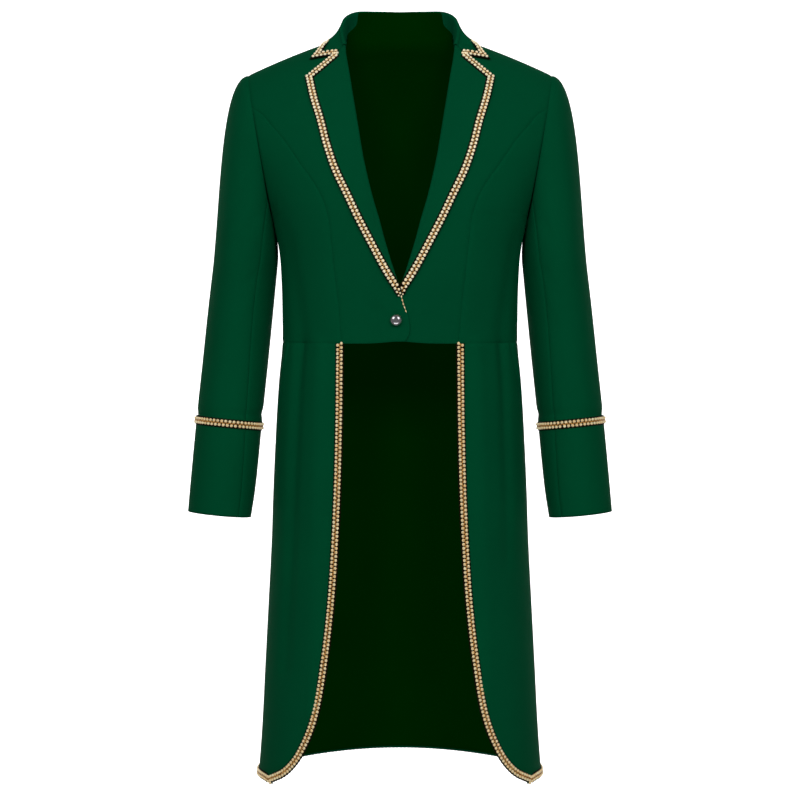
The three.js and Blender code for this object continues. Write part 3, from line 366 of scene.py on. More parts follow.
# ---- Lapels and collar --------------------------------------------------------------------------------
LAID, LAPEL_ROLL, LAPEL_RETURN = 0.35, 2.4, 12
LAPEL_REACH = 2.5  # how much nearer to the collar the lapel comes at its fold
LAP_NEAR, LAP_FAR, LAP_LOW, LAP_HIGH, LAP_GAP = 14, 46, -365, -290, 0.85


def lap_lift(point):
    across = 1 - smooth(point[..., 0], LAP_NEAR, LAP_FAR)
    up = 1 - smooth(point[..., 2], LAP_LOW, LAP_HIGH)
    return (CLOTH + LAP_GAP) * across * up


def no_lift(point):
    return 0 * point[..., 0]


def lapel_rise(up, out):
    return LAID + LAPEL_ROLL * (1 - out) ** 3 * np.sin(np.pi * np.clip(up, 0.02, 0.98)) ** 0.6


def lapel_surface(up, out, lift):
    up, out = np.broadcast_arrays(np.asarray(up, float), np.asarray(out, float))
    roll_z = lerp(BREAK_Z + 2, GORGE_Z, up)
    edge_z = lerp(LAPEL_EDGE["z"][0], LAPEL_EDGE["z"][-1], up)
    x = lerp(lookup(ROLL_LINE, "x", roll_z), lookup(LAPEL_EDGE, "x", edge_z), out)
    reach_up = LAPEL_REACH * (1 - out) ** 3 * smooth(up, 0.92, 1)
    point, normal = coat_at(x, lerp(roll_z, edge_z, out) + reach_up)
    return point + normal * (lift(point) + lapel_rise(up, out) + LEAF)[..., None], normal


def lapel_grid(lift, ups):
    """Rows over the lapel's face, round its fold and a short way back behind the front."""
    fold, fold_normal = lapel_surface(ups, 0 * ups, lift)
    edge, _ = lapel_surface(ups, 1 + 0 * ups, lift)
    towards = unit(fold - edge)
    span = np.linalg.norm(fold - edge, axis=1)
    radius = (lapel_rise(ups, 0 * ups) + LEAF + CLOTH + LAID + LEAF) / 2
    fold_share = np.minimum(radius / span, 0.5)
    centre = fold - fold_normal * radius[:, None] - towards * (fold_share * span)[:, None]
    columns, normals = [], []
    for share in np.concatenate([[1, 0.985, 0.96], np.linspace(0.93, 0.04, 22)]):
        point, normal = lapel_surface(ups, lerp(fold_share, 1, share), lift)
        columns.append(point)
        normals.append(normal)
    for turn in np.linspace(0, 180, 11):
        normal = fold_normal * cos(turn) + towards * sin(turn)
        columns.append(centre + normal * radius[:, None])
        normals.append(normal)
    for share in (0.5, 1):
        back = np.minimum(LAPEL_RETURN, 0.4 * span) * share
        columns.append(centre - fold_normal * radius[:, None] - towards * back[:, None])
        normals.append(-fold_normal)
    return np.stack(columns, 1), np.stack(normals, 1)


FOLD_RADIUS, COLLAR_LAID, FALL_HOLLOW, NECK_INSET = 3, 0.6, 5, 5
KNEE_SHARE, KNEE_DROP, STEEPEST = 0.34, 9.6, 0.4
FORWARDS_FROM, FORWARDS_FULL = 0.7, 0.9  # places where the fall's lift turns to the front
HOLLOW_AT, HOLLOW_SPREAD = 0.58, 0.2  # where the fall is hollow, by the shoulder seam


def neck_level(share):
    """The level of the back's top edge, from the centre back at 0 to the shoulder seam at 1."""
    depth = depth_above(-1, NAPE_LEVEL) * cos(90 * share)
    over = OVER[-1]
    full = lookup(FORM, DEPTH[-1], UNDERARM_Z)
    return np.clip(1 - (depth / full) ** over["turn"], 0, 1) ** (1 / over["rise"])


def neck_point(at):
    """The neck seam: along the back's top edge, then down beside the roll line behind the front."""
    at = np.asarray(at, float)
    share = np.clip(at / COLLAR_SHOULDER, 0, 1)
    level = neck_level(share)
    angle = angle_at_x(-1, level, lambda z: NECK_X * sin(90 * share))
    behind = body_point(-1, angle, level) + np.array([0, 0, LAID])
    down = np.clip((at - COLLAR_SHOULDER) / (1 - COLLAR_SHOULDER), 0, 1)
    point, normal = coat_at(lerp(NECK_X, GORGE_X, down), lerp(0, GORGE_Z + 4, down))
    ahead = point - normal * (NECK_INSET * down)[..., None]
    return np.where((at <= COLLAR_SHOULDER)[..., None], behind, ahead)


def either_coat(x, z, behind):
    points = [coat_at(x, z, face) for face in (1, -1)]
    return tuple(np.where(behind[..., None], b, f) for f, b in zip(*points))


def rest_on_coat(point, forwards):
    """Lifts points to where a leaf lies on the coat: straight off it, or to the front by a share."""
    ground, normal = either_coat(point[..., 0], point[..., 2], point[..., 1] > SHOULDER_Y)
    lift = np.maximum(LEAF + COLLAR_LAID - dot(point - ground, normal), 0)
    ahead = vec(0, -lift / np.maximum(-normal[..., 1], STEEPEST), 0)
    return point + lerp(normal * lift[..., None], ahead, forwards[..., None])


def fold_point(at):
    return vec(*(lookup(COLLAR, column, at) for column in ("foldX", "foldY", "foldZ")))


def collar_line(at):
    """The fold, the free edge, and the directions outwards and up across the fold."""
    x, z = (lookup(COLLAR, column, at) for column in ("edgeX", "edgeZ"))
    ground, normal = either_coat(x, z, at < COLLAR_SHOULDER)
    edge = ground + normal * (LEAF + COLLAR_LAID)
    track = unit(fold_point(np.minimum(at + 0.02, 1)) - fold_point(np.maximum(at - 0.02, 0)))
    track = np.where((at <= 1e-6)[..., None], vec(1, 0, 0), track)
    outwards = edge - neck_point(at)
    outwards = unit(outwards - track * dot(outwards, track)[..., None])
    return fold_point(at), edge, outwards, unit(np.cross(track, outwards))


def fall_point(at, share):
    """A point on the fall: share 0 is beside the fold and 1 is the free edge."""
    at, share = np.broadcast_arrays(np.asarray(at, float), np.asarray(share, float))
    fold, edge, outwards, _ = collar_line(at)
    start = fold + outwards * FOLD_RADIUS
    point = start + (edge - start) * share[..., None]
    hollow = FALL_HOLLOW * np.sin(np.pi * share) * np.exp(-(((at - HOLLOW_AT) / HOLLOW_SPREAD) ** 2))
    knee = np.where(share < KNEE_SHARE, share / KNEE_SHARE, (1 - share) / (1 - KNEE_SHARE))
    point = point - outwards * hollow[..., None]
    point[..., 2] -= KNEE_DROP * knee * smooth(at, 0.8, 1)
    rested = rest_on_coat(point, smooth(at, FORWARDS_FROM, FORWARDS_FULL))
    return np.where((share > 0)[..., None], rested, point)


def collar_half(ats, falls):
    """Sections from the neck seam up the stand, over the fold and down the fall, from at 0 to 1."""
    neck = neck_point(ats)
    fold, _, outwards, up = collar_line(ats)

    def over(turn):
        return fold + (outwards * sin(turn) + up * cos(turn)) * FOLD_RADIUS

    top = over(-90)
    columns = [lerp(neck, top, share) for share in np.linspace(0, 1, 9)]
    columns += [over(turn) for turn in np.linspace(-70, 90, 9)]
    columns += [fall_point(ats, share) for share in falls]
    return np.stack(columns, 1)


def grid_normals(points):
    """Unit normals of a bare grid of points, from the points beside each one."""
    return unit(np.cross(np.gradient(points, axis=0), np.gradient(points, axis=1)))


# ---- Meshes -------------------------------------------------------------------------------------------
def collection_link(obj):
    bpy.context.scene.collection.objects.link(obj)
    return obj


def make_mesh(name, material, points, faces, uv=None):
    """A mesh object from points in millimetres, smooth, riding on the coat."""
    mesh = bpy.data.meshes.new(name)
    mesh.from_pydata((np.asarray(points) / 1000).tolist(), [], [tuple(f) for f in faces])
    if uv is not None:
        layer = mesh.uv_layers.new(name="cut")
        loops = np.empty(len(mesh.loops), int)
        mesh.loops.foreach_get("vertex_index", loops)
        layer.data.foreach_set("uv", np.asarray(uv)[loops].ravel())
    mesh.polygons.foreach_set("use_smooth", [True] * len(mesh.polygons))
    mesh.materials.append(material)
    mesh.validate()
    obj = collection_link(bpy.data.objects.new(name, mesh))
    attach(obj, "root")
    return obj


def runs(points):
    """How far each point of a grid is along its row, and down its column."""
    across, down = (np.linalg.norm(np.diff(points, axis=axis), axis=2) for axis in (1, 0))
    across = np.concatenate([np.zeros((len(points), 1)), np.cumsum(across, 1)], 1)
    return across, np.concatenate([np.zeros((1, points.shape[1])), np.cumsum(down, 0)])


def flat_uv(points):
    """The cut's own coordinates in metres: along the rows and down the columns."""
    across, down = runs(points)
    middle = across[:, [across.shape[1] // 2]]
    return np.stack([across - middle, np.repeat(down.mean(1)[:, None], points.shape[1], 1)], -1) / 1000


def wall_faces(rows, columns, closed=False):
    """Quads of a wall whose shown grid comes first and whose hidden grid follows it."""
    back = rows * columns
    last = columns if closed else columns - 1
    r, c = np.meshgrid(np.arange(rows - 1), np.arange(last), indexing="ij")
    a, b = r * columns + c, r * columns + (c + 1) % columns
    d, e = a + columns, b + columns
    shown = np.stack([a, b, e, d], -1).reshape(-1, 4)
    faces = [shown, shown[:, ::-1] + back]
    c = np.arange(last)
    n = (c + 1) % columns
    faces.append(np.stack([n, c, c + back, n + back], -1))
    low = (rows - 1) * columns
    faces.append(np.stack([c + low, n + low, n + low + back, c + low + back], -1))
    if not closed:
        r = np.arange(rows - 1) * columns
        faces.append(np.stack([r, r + columns, r + columns + back, r + back], -1))
        r = r + columns - 1
        faces.append(np.stack([r + columns, r, r + back, r + columns + back], -1))
    return np.concatenate(faces)


def signed_volume(points, faces):
    p = points[faces]
    return dot(p[:, 0], np.cross(p[:, 1], p[:, 2])).sum() + dot(p[:, 0], np.cross(p[:, 2], p[:, 3])).sum()


def shell(name, points, normals, thick, material, closed=False):
    """A closed wall: points are its shown side, and it is thick mm deep against the normals."""
    rows, columns = points.shape[:2]
    both = np.concatenate([points.reshape(-1, 3), (points - normals * thick).reshape(-1, 3)])
    faces = wall_faces(rows, columns, closed)
    if signed_volume(both, faces) < 0:
        faces = faces[:, ::-1]
    uv = flat_uv(points).reshape(-1, 2)
    return make_mesh(name, material, both, faces, np.concatenate([uv, uv]))


def ring_faces(rows, sides, flip=False):
    """Faces over rings of points that follow each other, closed at both ends."""
    r, c = np.meshgrid(np.arange(rows - 1), np.arange(sides), indexing="ij")
    a, b = r * sides + c, r * sides + (c + 1) % sides
    quads = [a, a + sides, b + sides, b] if flip else [a, b, b + sides, a + sides]
    ends = [tuple(range(sides))[::-1], tuple(range((rows - 1) * sides, rows * sides))]
    return [tuple(f) for f in np.stack(quads, -1).reshape(-1, 4)] + [e[::-1] if flip else e for e in ends]


def mirrored(points, normals):
    return points[:, ::-1] * MIRROR, normals[:, ::-1] * MIRROR


# ---- Creases and seams --------------------------------------------------------------------------------
SEAM_DIP, SEAM_REACH = 0.8, 2.2
EDGE_NEAR = np.array([0, 0.7, 1.6, 3.0])  # mm from an edge, where the cloth's points stand closer
NARROW = 14  # mm, and closer still where a panel is narrower than this
AROUND_MM = 3.05  # mm for a degree round the body
ARM_MM = 0.95  # and round the arm

# Soft troughs and ridges, each from one place to another: degrees round the coat from the centre front,
# heights, how far it reaches each way, how high it stands, its strength at both ends, and the side that
# it is on: 1 the wearer's left, -1 the right, 0 both.
BODY_CREASES = table(
    "around z around2 z2 reach high start end side",
    (62, -452, 64.5, -905, 10, -5.8, 1, 0.5, -1), (64, -452, 62.5, -760, 9, -5.4, 1, 0.4, 1),
    (51, -452, 50, -960, 13, 3.8, 0.8, 0.4, -1), (49, -452, 50, -930, 14, 3.6, 0.7, 0.5, 1),
    (73, -449, 78, -545, 6, 2.2, 1, 0.2, -1), (74, -449, 80, -530, 6, 2.4, 1, 0.2, 1),
    (34, -640, 30, -1000, 12, -0.9, 0.2, 1, -1), (36, -700, 33, -1010, 11, -0.8, 0.2, 1, 1),
    (66, -290, 61, -438, 14, -3.2, 0.5, 1, -1), (68, -300, 63, -438, 13, -3, 0.6, 1, 1),
    (46, -300, 43, -436, 18, 1.3, 0.5, 0.8, 0), (50, -125, 44, -205, 24, 1.5, 1, 0.5, 0),
    (12, -405, 38, -388, 7, -0.7, 1, 0.2, -1), (10, -412, 34, -402, 6, -0.6, 1, 0.2, 1),
    (10, -398, 30, -352, 7, 0.6, 0.9, 0.2, -1), (66, -218, 74, -262, 9, -1.3, 0.4, 1, -1),
    (68, -224, 76, -262, 8, -1.2, 0.4, 1, 1), (20, -436, 44, -428, 6, 0.5, 0.5, 0.4, 0),
    (108, -452, 112, -960, 13, 1.8, 0.8, 0.6, 1), (105, -452, 114, -920, 12, 1.6, 0.7, 0.6, -1),
    (124, -452, 128, -1010, 12, -1.9, 0.8, 0.9, 1), (127, -452, 124, -980, 14, -1.7, 0.9, 0.8, -1),
    (146, -452, 150, -1040, 15, 1.8, 0.5, 0.9, 0), (166, -500, 163, -1040, 11, -1.4, 0.3, 1, 1),
    (168, -470, 165, -1000, 12, -1.3, 0.3, 1, -1), (120, -300, 138, -425, 12, -1.8, 0.7, 1, 1),
    (118, -310, 140, -420, 11, -1.6, 0.7, 1, -1), (142, -150, 128, -255, 16, -1.6, 0.3, 1, 0),
    (170, -90, 160, -190, 20, 1.0, 0.6, 0.4, 0), (158, -300, 168, -436, 12, 1.1, 0.4, 0.8, 0),
)
ARM_CREASES = table(
    "turn z turn2 z2 reach high start end side",
    (-180, -547, 180, -548, 6, -1.8, 1, 1, 0), (60, -150, 70, -330, 15, 1.6, 0.7, 0.5, 0),
    (118, -268, 84, -330, 8, -1.5, 1, 0.2, -1), (120, -276, 88, -342, 8, -1.4, 1, 0.2, 1),
    (128, -352, 92, -378, 7, -1.2, 1, 0.1, -1), (130, -345, 96, -384, 7, -1.1, 1, 0.1, 1),
    (126, -392, 100, -420, 8, 0.9, 0.8, 0.1, 0), (96, -420, 70, -520, 12, 1.0, 0.4, 0.6, 0),
    (120, -470, 96, -538, 9, -1.1, 0.4, 1, -1), (122, -462, 100, -540, 9, -1.0, 0.4, 1, 1),
    (30, -330, 44, -500, 14, -0.9, 0.4, 0.8, 0), (-60, -340, -100, -400, 10, -1.6, 1, 0.3, 1),
    (-56, -352, -96, -412, 10, -1.5, 1, 0.3, -1), (-120, -300, -90, -372, 9, -1.4, 1, 0.3, 0),
    (-50, -420, -70, -520, 12, 1.2, 0.6, 0.4, 0), (180, -300, 150, -352, 9, -1.2, 1, 0.3, 0),
    (84, -590, 92, -680, 13, 0.8, 0.5, 0.8, 0), (-60, -585, -66, -682, 12, 0.8, 0.5, 0.8, 0),
)


def crease_height(rows, a, z, mm, hand):
    """How far the creases of a side raise the cloth at places given by degrees round and height."""
    total = 0 * a
    for a0, z0, a1, z1, reach, high, start, end, side in zip(*rows.values()):
        if side == -hand:
            continue
        along = np.array([(a1 - a0) * mm, z1 - z0])
        size = along @ along
        da, dz = (a - a0) * mm, z - z0
        t = np.clip((da * along[0] + dz * along[1]) / size, 0, 1)
        away = np.hypot(da - t * along[0], dz - t * along[1])
        total = total + high * lerp(start, end, t) * np.exp(-((away / reach) ** 2))
    return total


def seamed(points, normals, seams, raised):
    """Presses the cloth in along its seams and adds the creases."""
    across, down = runs(points)
    away = {"left": across, "right": across[:, -1:] - across, "first": down, "last": down[-1:] - down}
    dip = sum(np.exp(-((away[side] / SEAM_REACH) ** 2)) for side in seams)
    return points + normals * (raised - SEAM_DIP * np.minimum(dip, 1))[..., None]


def edged_shares(widths, count):
    """Shares across each row: close together beside both edges and even in between."""
    near = EDGE_NEAR[None] * np.minimum(1, widths / NARROW)[:, None] / widths[:, None]
    middle = lerp(near[:, -1:], 1 - near[:, -1:], np.linspace(0, 1, count + 2)[None, 1:-1])
    return np.concatenate([near, middle, 1 - near[:, ::-1]], 1)


def body_crease(point, hand):
    around = np.degrees(np.arctan2(point[..., 0], -(point[..., 1] - SHOULDER_Y)))
    return crease_height(BODY_CREASES, np.abs(around), point[..., 2], AROUND_MM, hand)


# ---- Panels -------------------------------------------------------------------------------------------
STEP, TAIL_STEP, LINING_STEP = 4.6, 5.2, 5.5  # mm between the rows of the cloth
ROWS_AT, TAIL_ROWS_AT = 25, 90  # degrees round, where the rows are spaced
RIDGE_LEVELS = (0.975, 0.985, 0.992, 0.9965, 0.9988)  # rows over the shoulder
CAP_ROWS = (0.004, 0.011, 0.02)  # rows beside the armhole seam
UNDER_ROLL = 5  # mm that the front ends short of the roll line, under the lapel
LEAST_WIDTH, LEAST_ANGLE = 0.8, 0.35  # of a panel's rows, in mm and degrees


def panel_rows(high):
    """Levels of a bodice panel's rows up from the waist, closer at its seam and over the shoulder."""
    rows = even(lambda v: body_point(-1, ROWS_AT + 0 * v, v), -1, high, STEP)
    return joined(rows, EDGE_NEAR[1:] / BODICE_LENGTH - 1, RIDGE_LEVELS if high == 1 else [])


def angle_rows(surface, inner, outer, rows, count):
    widths = np.maximum(np.linalg.norm(surface(inner, rows) - surface(outer, rows), axis=1), LEAST_WIDTH)
    return lerp(inner[:, None], outer[:, None], edged_shares(widths, count))


def bodice_grid(face, rows, inner, outer, count, seams, hand, lift=no_lift):
    outer = np.maximum(outer, inner + LEAST_ANGLE)
    angles = angle_rows(lambda a, v: body_point(face, a, v), inner, outer, rows, count)
    levels = np.repeat(rows[:, None], angles.shape[1], 1)
    points, normals = body_point(face, angles, levels), body_normal(face, angles, levels)
    points = points + normals * lift(points)[..., None]
    return seamed(points, normals, seams, body_crease(points, hand)), normals


def princess(levels):
    return angle_at_x(1, levels, lambda z: lookup(PRINCESS_SEAM, "x", z))


def armhole_edge(face, levels):
    return np.where(levels <= 0, 90, armhole_angle(face, levels))


def front_grid(low_edge, lift, hand):
    rows = joined(panel_rows(1), BREAK_LEVEL, PRINCESS_TOP)
    below = angle_at_x(1, rows, lambda z: lookup(low_edge, "x", z))
    above = angle_at_x(1, rows, lambda z: lookup(ROLL_LINE, "x", z) + UNDER_ROLL)
    inner = np.where(rows < BREAK_LEVEL, below, above)
    outer = np.where(rows <= PRINCESS_TOP, princess(rows), armhole_edge(1, rows))
    return bodice_grid(1, rows, inner, outer, 26, ("right", "first", "last"), hand, lift)


def side_front_grid(hand):
    rows = panel_rows(PRINCESS_TOP)
    return bodice_grid(1, rows, princess(rows), armhole_edge(1, rows), 22, ("left", "right", "first"), hand)


def back_grid(hand):
    lower = panel_rows(1)
    rows = joined(lower[lower < NAPE_LEVEL - 0.004], neck_level(np.linspace(0, 1, 22)))
    share = np.clip(depth_above(-1, rows) / depth_above(-1, NAPE_LEVEL), 0, 1)
    inner = angle_at_x(-1, rows, lambda z: NECK_X * np.sqrt(1 - share**2))
    seams = ("left", "right", "first", "last")
    return bodice_grid(-1, rows, inner, armhole_edge(-1, rows), 44, seams, hand)


def tail_grid(inner, outer, count, seams, hand):
    rows = even(lambda v: skirt_point(TAIL_ROWS_AT + 0 * v, v), 0, 1, TAIL_STEP)
    rows = joined(rows, EDGE_NEAR[1:] / SKIRT_LENGTH, 1 - EDGE_NEAR[1:] / SKIRT_LENGTH)
    angles = angle_rows(skirt_point, inner(rows), outer(rows), rows, count)
    shares = np.repeat(rows[:, None], angles.shape[1], 1)
    points, normals = skirt_point(angles, shares), skirt_normal(angles, shares)
    return seamed(points, normals, seams, body_crease(points, hand)), normals


def tail_front_grid(hand):
    return tail_grid(tail_edge_angle, tail_seam_angle, 26, ("right", "first"), hand)


def tail_back_grid(hand):
    return tail_grid(tail_seam_angle, lambda s: 180 + 0 * s, 46, ("left", "right", "first"), hand)


def sleeve_grid(start, end, count, hand):
    cap, arm = (even(lambda v: sleeve_point(0 * v, v), top, top + 1, STEP) for top in (0, 1))
    rows = joined(cap, arm, CAP_ROWS)
    first, last = np.full(len(rows), float(start)), np.full(len(rows), float(end))
    turns = angle_rows(sleeve_point, first, last, rows, count)
    lengths = np.repeat(rows[:, None], turns.shape[1], 1)
    points, normals = sleeve_point(turns, lengths), sleeve_normal(turns, lengths)
    turned = np.where(turns > 180, turns - 360, turns)
    raised = crease_height(ARM_CREASES, turned, points[..., 2], ARM_MM, hand)
    return seamed(points, normals, ("left", "right", "first"), raised), normals


def sleeve_upper_grid(hand):
    return sleeve_grid(SEAM_TURN_BACK, SEAM_TURN_FRONT, 44, hand)


def sleeve_under_grid(hand):
    return sleeve_grid(SEAM_TURN_FRONT, 360 + SEAM_TURN_BACK, 22, hand)


# ---- Braid --------------------------------------------------------------------------------------------
# Gimp: cord that runs to and fro between knots along both edges, over a dark scalloped sheet of painted
# shade, for the shadow in the braid's holes and round its edges.
KNOT_PITCH, KNOT_INSET = 5.6, 2.15  # mm between an edge's knots, and from the edge to their middles
KNOT_LONG, KNOT_WIDE, KNOT_HIGH = 2.35, 2.05, 1.5
KNOT_SIDES, KNOT_RINGS = 9, (-62, -28, 2, 30, 56, 76)  # degrees up its section, from the underside
KNOT_LIFT = 0.8  # of its height, from the tape to its middle
CORD_RADIUS, CORD_DROP, CORD_SIDES = 1.1, 0.45, 6  # the cords lie lower than the knots' middles
CORD_COURSE = np.array([[0.1], [0.5], [0.9]])  # shares of the way from knot to knot
BRAID_LAID = 0.25
SHADE_OVER, SHADE_SCALLOP, SHADE_THICK = 1.35, 0.35, 0.5  # how far the sheet of painted shade shows outside the knots
SHADE_COLUMNS = np.array([-1, -0.5, 0, 0.5, 1])
LINE_STEP, SHADE_STEP = 0.8, 0.95  # mm between the points of lines on the cloth
MITRE = 2.7  # how many half widths a corner may reach out
CORNER, CORNER_CLEAR = 25, 1.4  # degrees from which a turn is a corner, and mm kept clear round its tip
CLEAR_SHARE, CLEAR_SLACK = 0.96, 0.05  # how near to its line an offset line may come


def neighbours(line, closed):
    if closed:
        return np.roll(line, 1, 0), np.roll(line, -1, 0)
    before = np.concatenate([[2 * line[0] - line[1]], line[:-1]])
    return before, np.concatenate([line[1:], [2 * line[-1] - line[-2]]])


def turns_of(line):
    """How sharply an open line turns at each of its points, in degrees."""
    before, after = neighbours(line, False)
    return np.degrees(np.arccos(np.clip(dot(unit(line - before), unit(after - line)), -1, 1)))


def resampled(values, step, closed=False):
    """Rows of values along a line at even steps, with the line's corners kept."""
    if closed:
        values = np.concatenate([values, values[:1]])
    run = np.concatenate([[0], np.cumsum(np.linalg.norm(np.diff(values[:, :3], axis=0), axis=1))])
    stops = [0.0] + ([] if closed else list(run[turns_of(values[:, :3]) > CORNER])) + [run[-1]]
    legs = []
    for start, end in zip(stops, stops[1:]):
        legs.append(np.linspace(start, end, max(round((end - start) / step), 1), endpoint=False))
    at = np.concatenate(legs + [stops[-1:]])
    line = np.stack([np.interp(at, run, column) for column in values.T], 1)
    return line[:-1] if closed else line


def line_frame(line, normals, closed):
    """Directions along, across and up on a line that lies on cloth; across grows at corners."""
    before, after = neighbours(line, closed)
    first, second = unit(line - before), unit(after - line)
    along = unit(first + second)
    up = unit(normals - along * dot(normals, along)[:, None])
    across = unit(np.cross(up, along))
    half_turn = np.maximum(dot(first, along), 1 / MITRE)
    return along, across / half_turn[:, None], up


def tube_mesh(line, up, radius, sides):
    """Points, faces and cut coordinates of a round tube along a line."""
    before, after = neighbours(line, False)
    along = unit(after - before)
    across = unit(np.cross(up, along))
    rise = unit(np.cross(along, across))
    turns = np.arange(sides) / sides * 360
    ring = across[:, None] * (cos(turns)[None, :, None] * radius[:, None, None])
    ring = ring + rise[:, None] * (sin(turns)[None, :, None] * radius[:, None, None])
    n = len(line)
    v = np.repeat(np.arange(n) * (length_of(line) / (n - 1)), sides)
    uv = np.stack([np.tile(turns / 360, n) * 5, v], 1) / 1000
    return (line[:, None] + ring).reshape(-1, 3), ring_faces(n, sides, flip=True), uv


def gather(parts):
    """Several sets of points, faces and cut coordinates as one."""
    points, faces, uvs, count = [], [], [], 0
    for p, f, uv in parts:
        points.append(p)
        uvs.append(uv)
        faces += [tuple(i + count for i in face) for face in f]
        count += len(p)
    return np.concatenate(points), faces, np.concatenate(uvs)


def knots(place, along, across, up, size):
    """A closed oval knot at each place."""
    sides, rows = KNOT_SIDES, len(KNOT_RINGS)
    profile = np.array([(cos(t), sin(t)) for t in KNOT_RINGS])
    turns = np.arange(sides) / sides * 360
    out = size[:, None, None, None] * profile[None, :, :1, None]
    ring = along[:, None, None] * (KNOT_LONG * cos(turns)[None, None, :, None] * out)
    ring = ring + across[:, None, None] * (KNOT_WIDE * sin(turns)[None, None, :, None] * out)
    high = size[:, None, None, None] * profile[None, :, 1:, None]
    points = place[:, None, None] + ring + up[:, None, None] * KNOT_HIGH * high
    faces = ring_faces(rows, sides)
    uv = np.stack([np.tile(turns / 360 * 6, rows), np.repeat(np.arange(rows) * 1.1, sides)], 1) / 1000
    return [(p.reshape(-1, 3), faces, uv + i * 0.0021) for i, p in enumerate(points)]


def offset(values, distance, closed=False):
    """The line beside a line on cloth, without the points that its corners carry too near to it."""
    _, across, up = line_frame(values[:, :3], values[:, 3:6], closed)
    distance = np.broadcast_to(distance, len(values))
    moved = values[:, :3] + across * distance[:, None]
    nearest = np.linalg.norm(moved[:, None] - values[None, :, :3], axis=2).min(1)
    kept = nearest > CLEAR_SHARE * np.abs(distance) - CLEAR_SLACK
    corner = np.zeros(len(values), bool) if closed else turns_of(values[:, :3]) > CORNER
    for tip in moved[corner]:
        kept &= (np.linalg.norm(moved - tip, axis=1) > CORNER_CLEAR) | corner
    return np.concatenate([moved, up, values[:, 6:]], 1)[kept]


def length_of(line):
    return np.linalg.norm(np.diff(line[:, :3], axis=0), axis=1).sum()


def zigzag(outer, inner_edge, closed):
    """Inner knots midway between the outer ones, and the inner knot that each outer step uses."""
    following = np.roll(outer, -1, 0) if closed else outer[1:]
    middles = (outer[:len(following), :3] + following[:, :3]) / 2
    nearest = np.linalg.norm(middles[:, None] - inner_edge[None, :, :3], axis=2).argmin(1)
    kept, uses = [], []
    for i in nearest:
        if not kept or np.linalg.norm(inner_edge[i, :3] - inner_edge[kept[-1], :3]) > 0.6 * KNOT_PITCH:
            kept.append(i)
        uses.append(len(kept) - 1)
    return inner_edge[kept], uses


def shade_sheet_grid(values, base, closed):
    """The scalloped sheet of painted shade: its inside is cut back to the middle line at each corner."""
    shade_sheet = resampled(values, SHADE_STEP, closed)
    _, across, up = line_frame(shade_sheet[:, :3], shade_sheet[:, 3:6], closed)
    wave = 2 * np.pi * np.arange(len(shade_sheet)) * SHADE_STEP / KNOT_PITCH
    halves = {}
    for side, lag in ((1, 0), (-1, np.pi)):
        halves[side] = shade_sheet[:, 6] / 2 + SHADE_OVER + SHADE_SCALLOP * np.cos(wave + lag)
    turns = turns_of(shade_sheet[:, :3])
    for corner in [] if closed else np.flatnonzero(turns > CORNER):
        away = np.linalg.norm(shade_sheet[:, :3] - shade_sheet[corner, :3], axis=1)
        inside = shade_sheet[min(corner + 1, len(shade_sheet) - 1), :3] - shade_sheet[corner, :3]
        side = int(np.sign(dot(inside, unit(across[corner]))) or 1)
        slope = math.tan(math.radians((180 - turns[corner]) / 2))
        halves[side] = np.minimum(halves[side], away * slope + 0.02)
    wide = np.stack([halves[1 if s > 0 else -1] * s for s in SHADE_COLUMNS], 1)
    grid = shade_sheet[:, None, :3] + across[:, None] * wide[..., None] + up[:, None] * base
    grid_up = np.repeat(up[:, None], len(SHADE_COLUMNS), 1)
    return (grid.transpose(1, 0, 2), grid_up.transpose(1, 0, 2)) if closed else (grid, grid_up)


def gimp(name, node, line, normals, width=None, closed=False, knotted=None):
    """Gimp braid along a line on the cloth, with the dark sheet of painted shade under it, in place of a
    node's solid.
    """
    wide = np.full(len(line), float(BRAID_WIDTH)) if width is None else width
    values = resampled(np.concatenate([line, normals, wide[:, None]], 1), LINE_STEP, closed)
    out = values[:, 6] * (0.5 - KNOT_INSET / BRAID_WIDTH)
    edges = sorted((offset(values, side * out, closed) for side in (1, -1)), key=length_of)
    outer = resampled(edges[1], KNOT_PITCH, closed)
    inner, uses = zigzag(outer, edges[0], closed)
    base = BRAID_LAID + SHADE_THICK
    parts, threads, places = [], [], []
    for edge in (outer, inner):
        along, across, up = line_frame(edge[:, :3], edge[:, 3:6], closed)
        size = edge[:, 6] / BRAID_WIDTH
        places.append(edge[:, :3] + up * (base + KNOT_HIGH * KNOT_LIFT * size)[:, None])
        parts += knots(places[-1], along, unit(across), up, size)
    for i, use in enumerate(uses):
        for start in (i, (i + 1) % len(outer)):
            up, size = outer[start, 3:6], outer[start, 6] / BRAID_WIDTH
            path = lerp(places[0][start], places[1][use], CORD_COURSE) - up * CORD_DROP * size
            radius = np.full(len(path), CORD_RADIUS * size)
            threads.append(tube_mesh(path, np.repeat(up[None], len(path), 0), radius, CORD_SIDES))
    for piece in (
        make_mesh(name, knotted or gold, *gather(parts)),
        make_mesh(name + "_cord", gold_shade, *gather(threads)),
        shell(name + "_tape", *shade_sheet_grid(values, base, closed), SHADE_THICK, braid_shade, closed),
    ):
        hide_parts(node)


def laid(x, z, height):
    """Points that stand off the coat by a height, at just this x and z."""
    ground, normal = coat_at(x, z)
    ahead = height / np.maximum(-normal[..., 1], STEEPEST)
    return ground - vec(0 * ahead, ahead, 0 * ahead), normal


def mirror_line(line, normals):
    return line * MIRROR, normals * MIRROR


LAPEL_BRAID_FOOT = {no_lift: (2.4, -380), lap_lift: (0.3, -381.5)}  # where the two narrow to an end
FOOT_WIDTH = 5.4
LAPEL_BRAID_START, LAPEL_BRAID_TOP = 0.012, 0.984  # shares of the way up the lapel
NOTCH_CLEAR = 7  # mm from the notch's end to the end of the braid past it


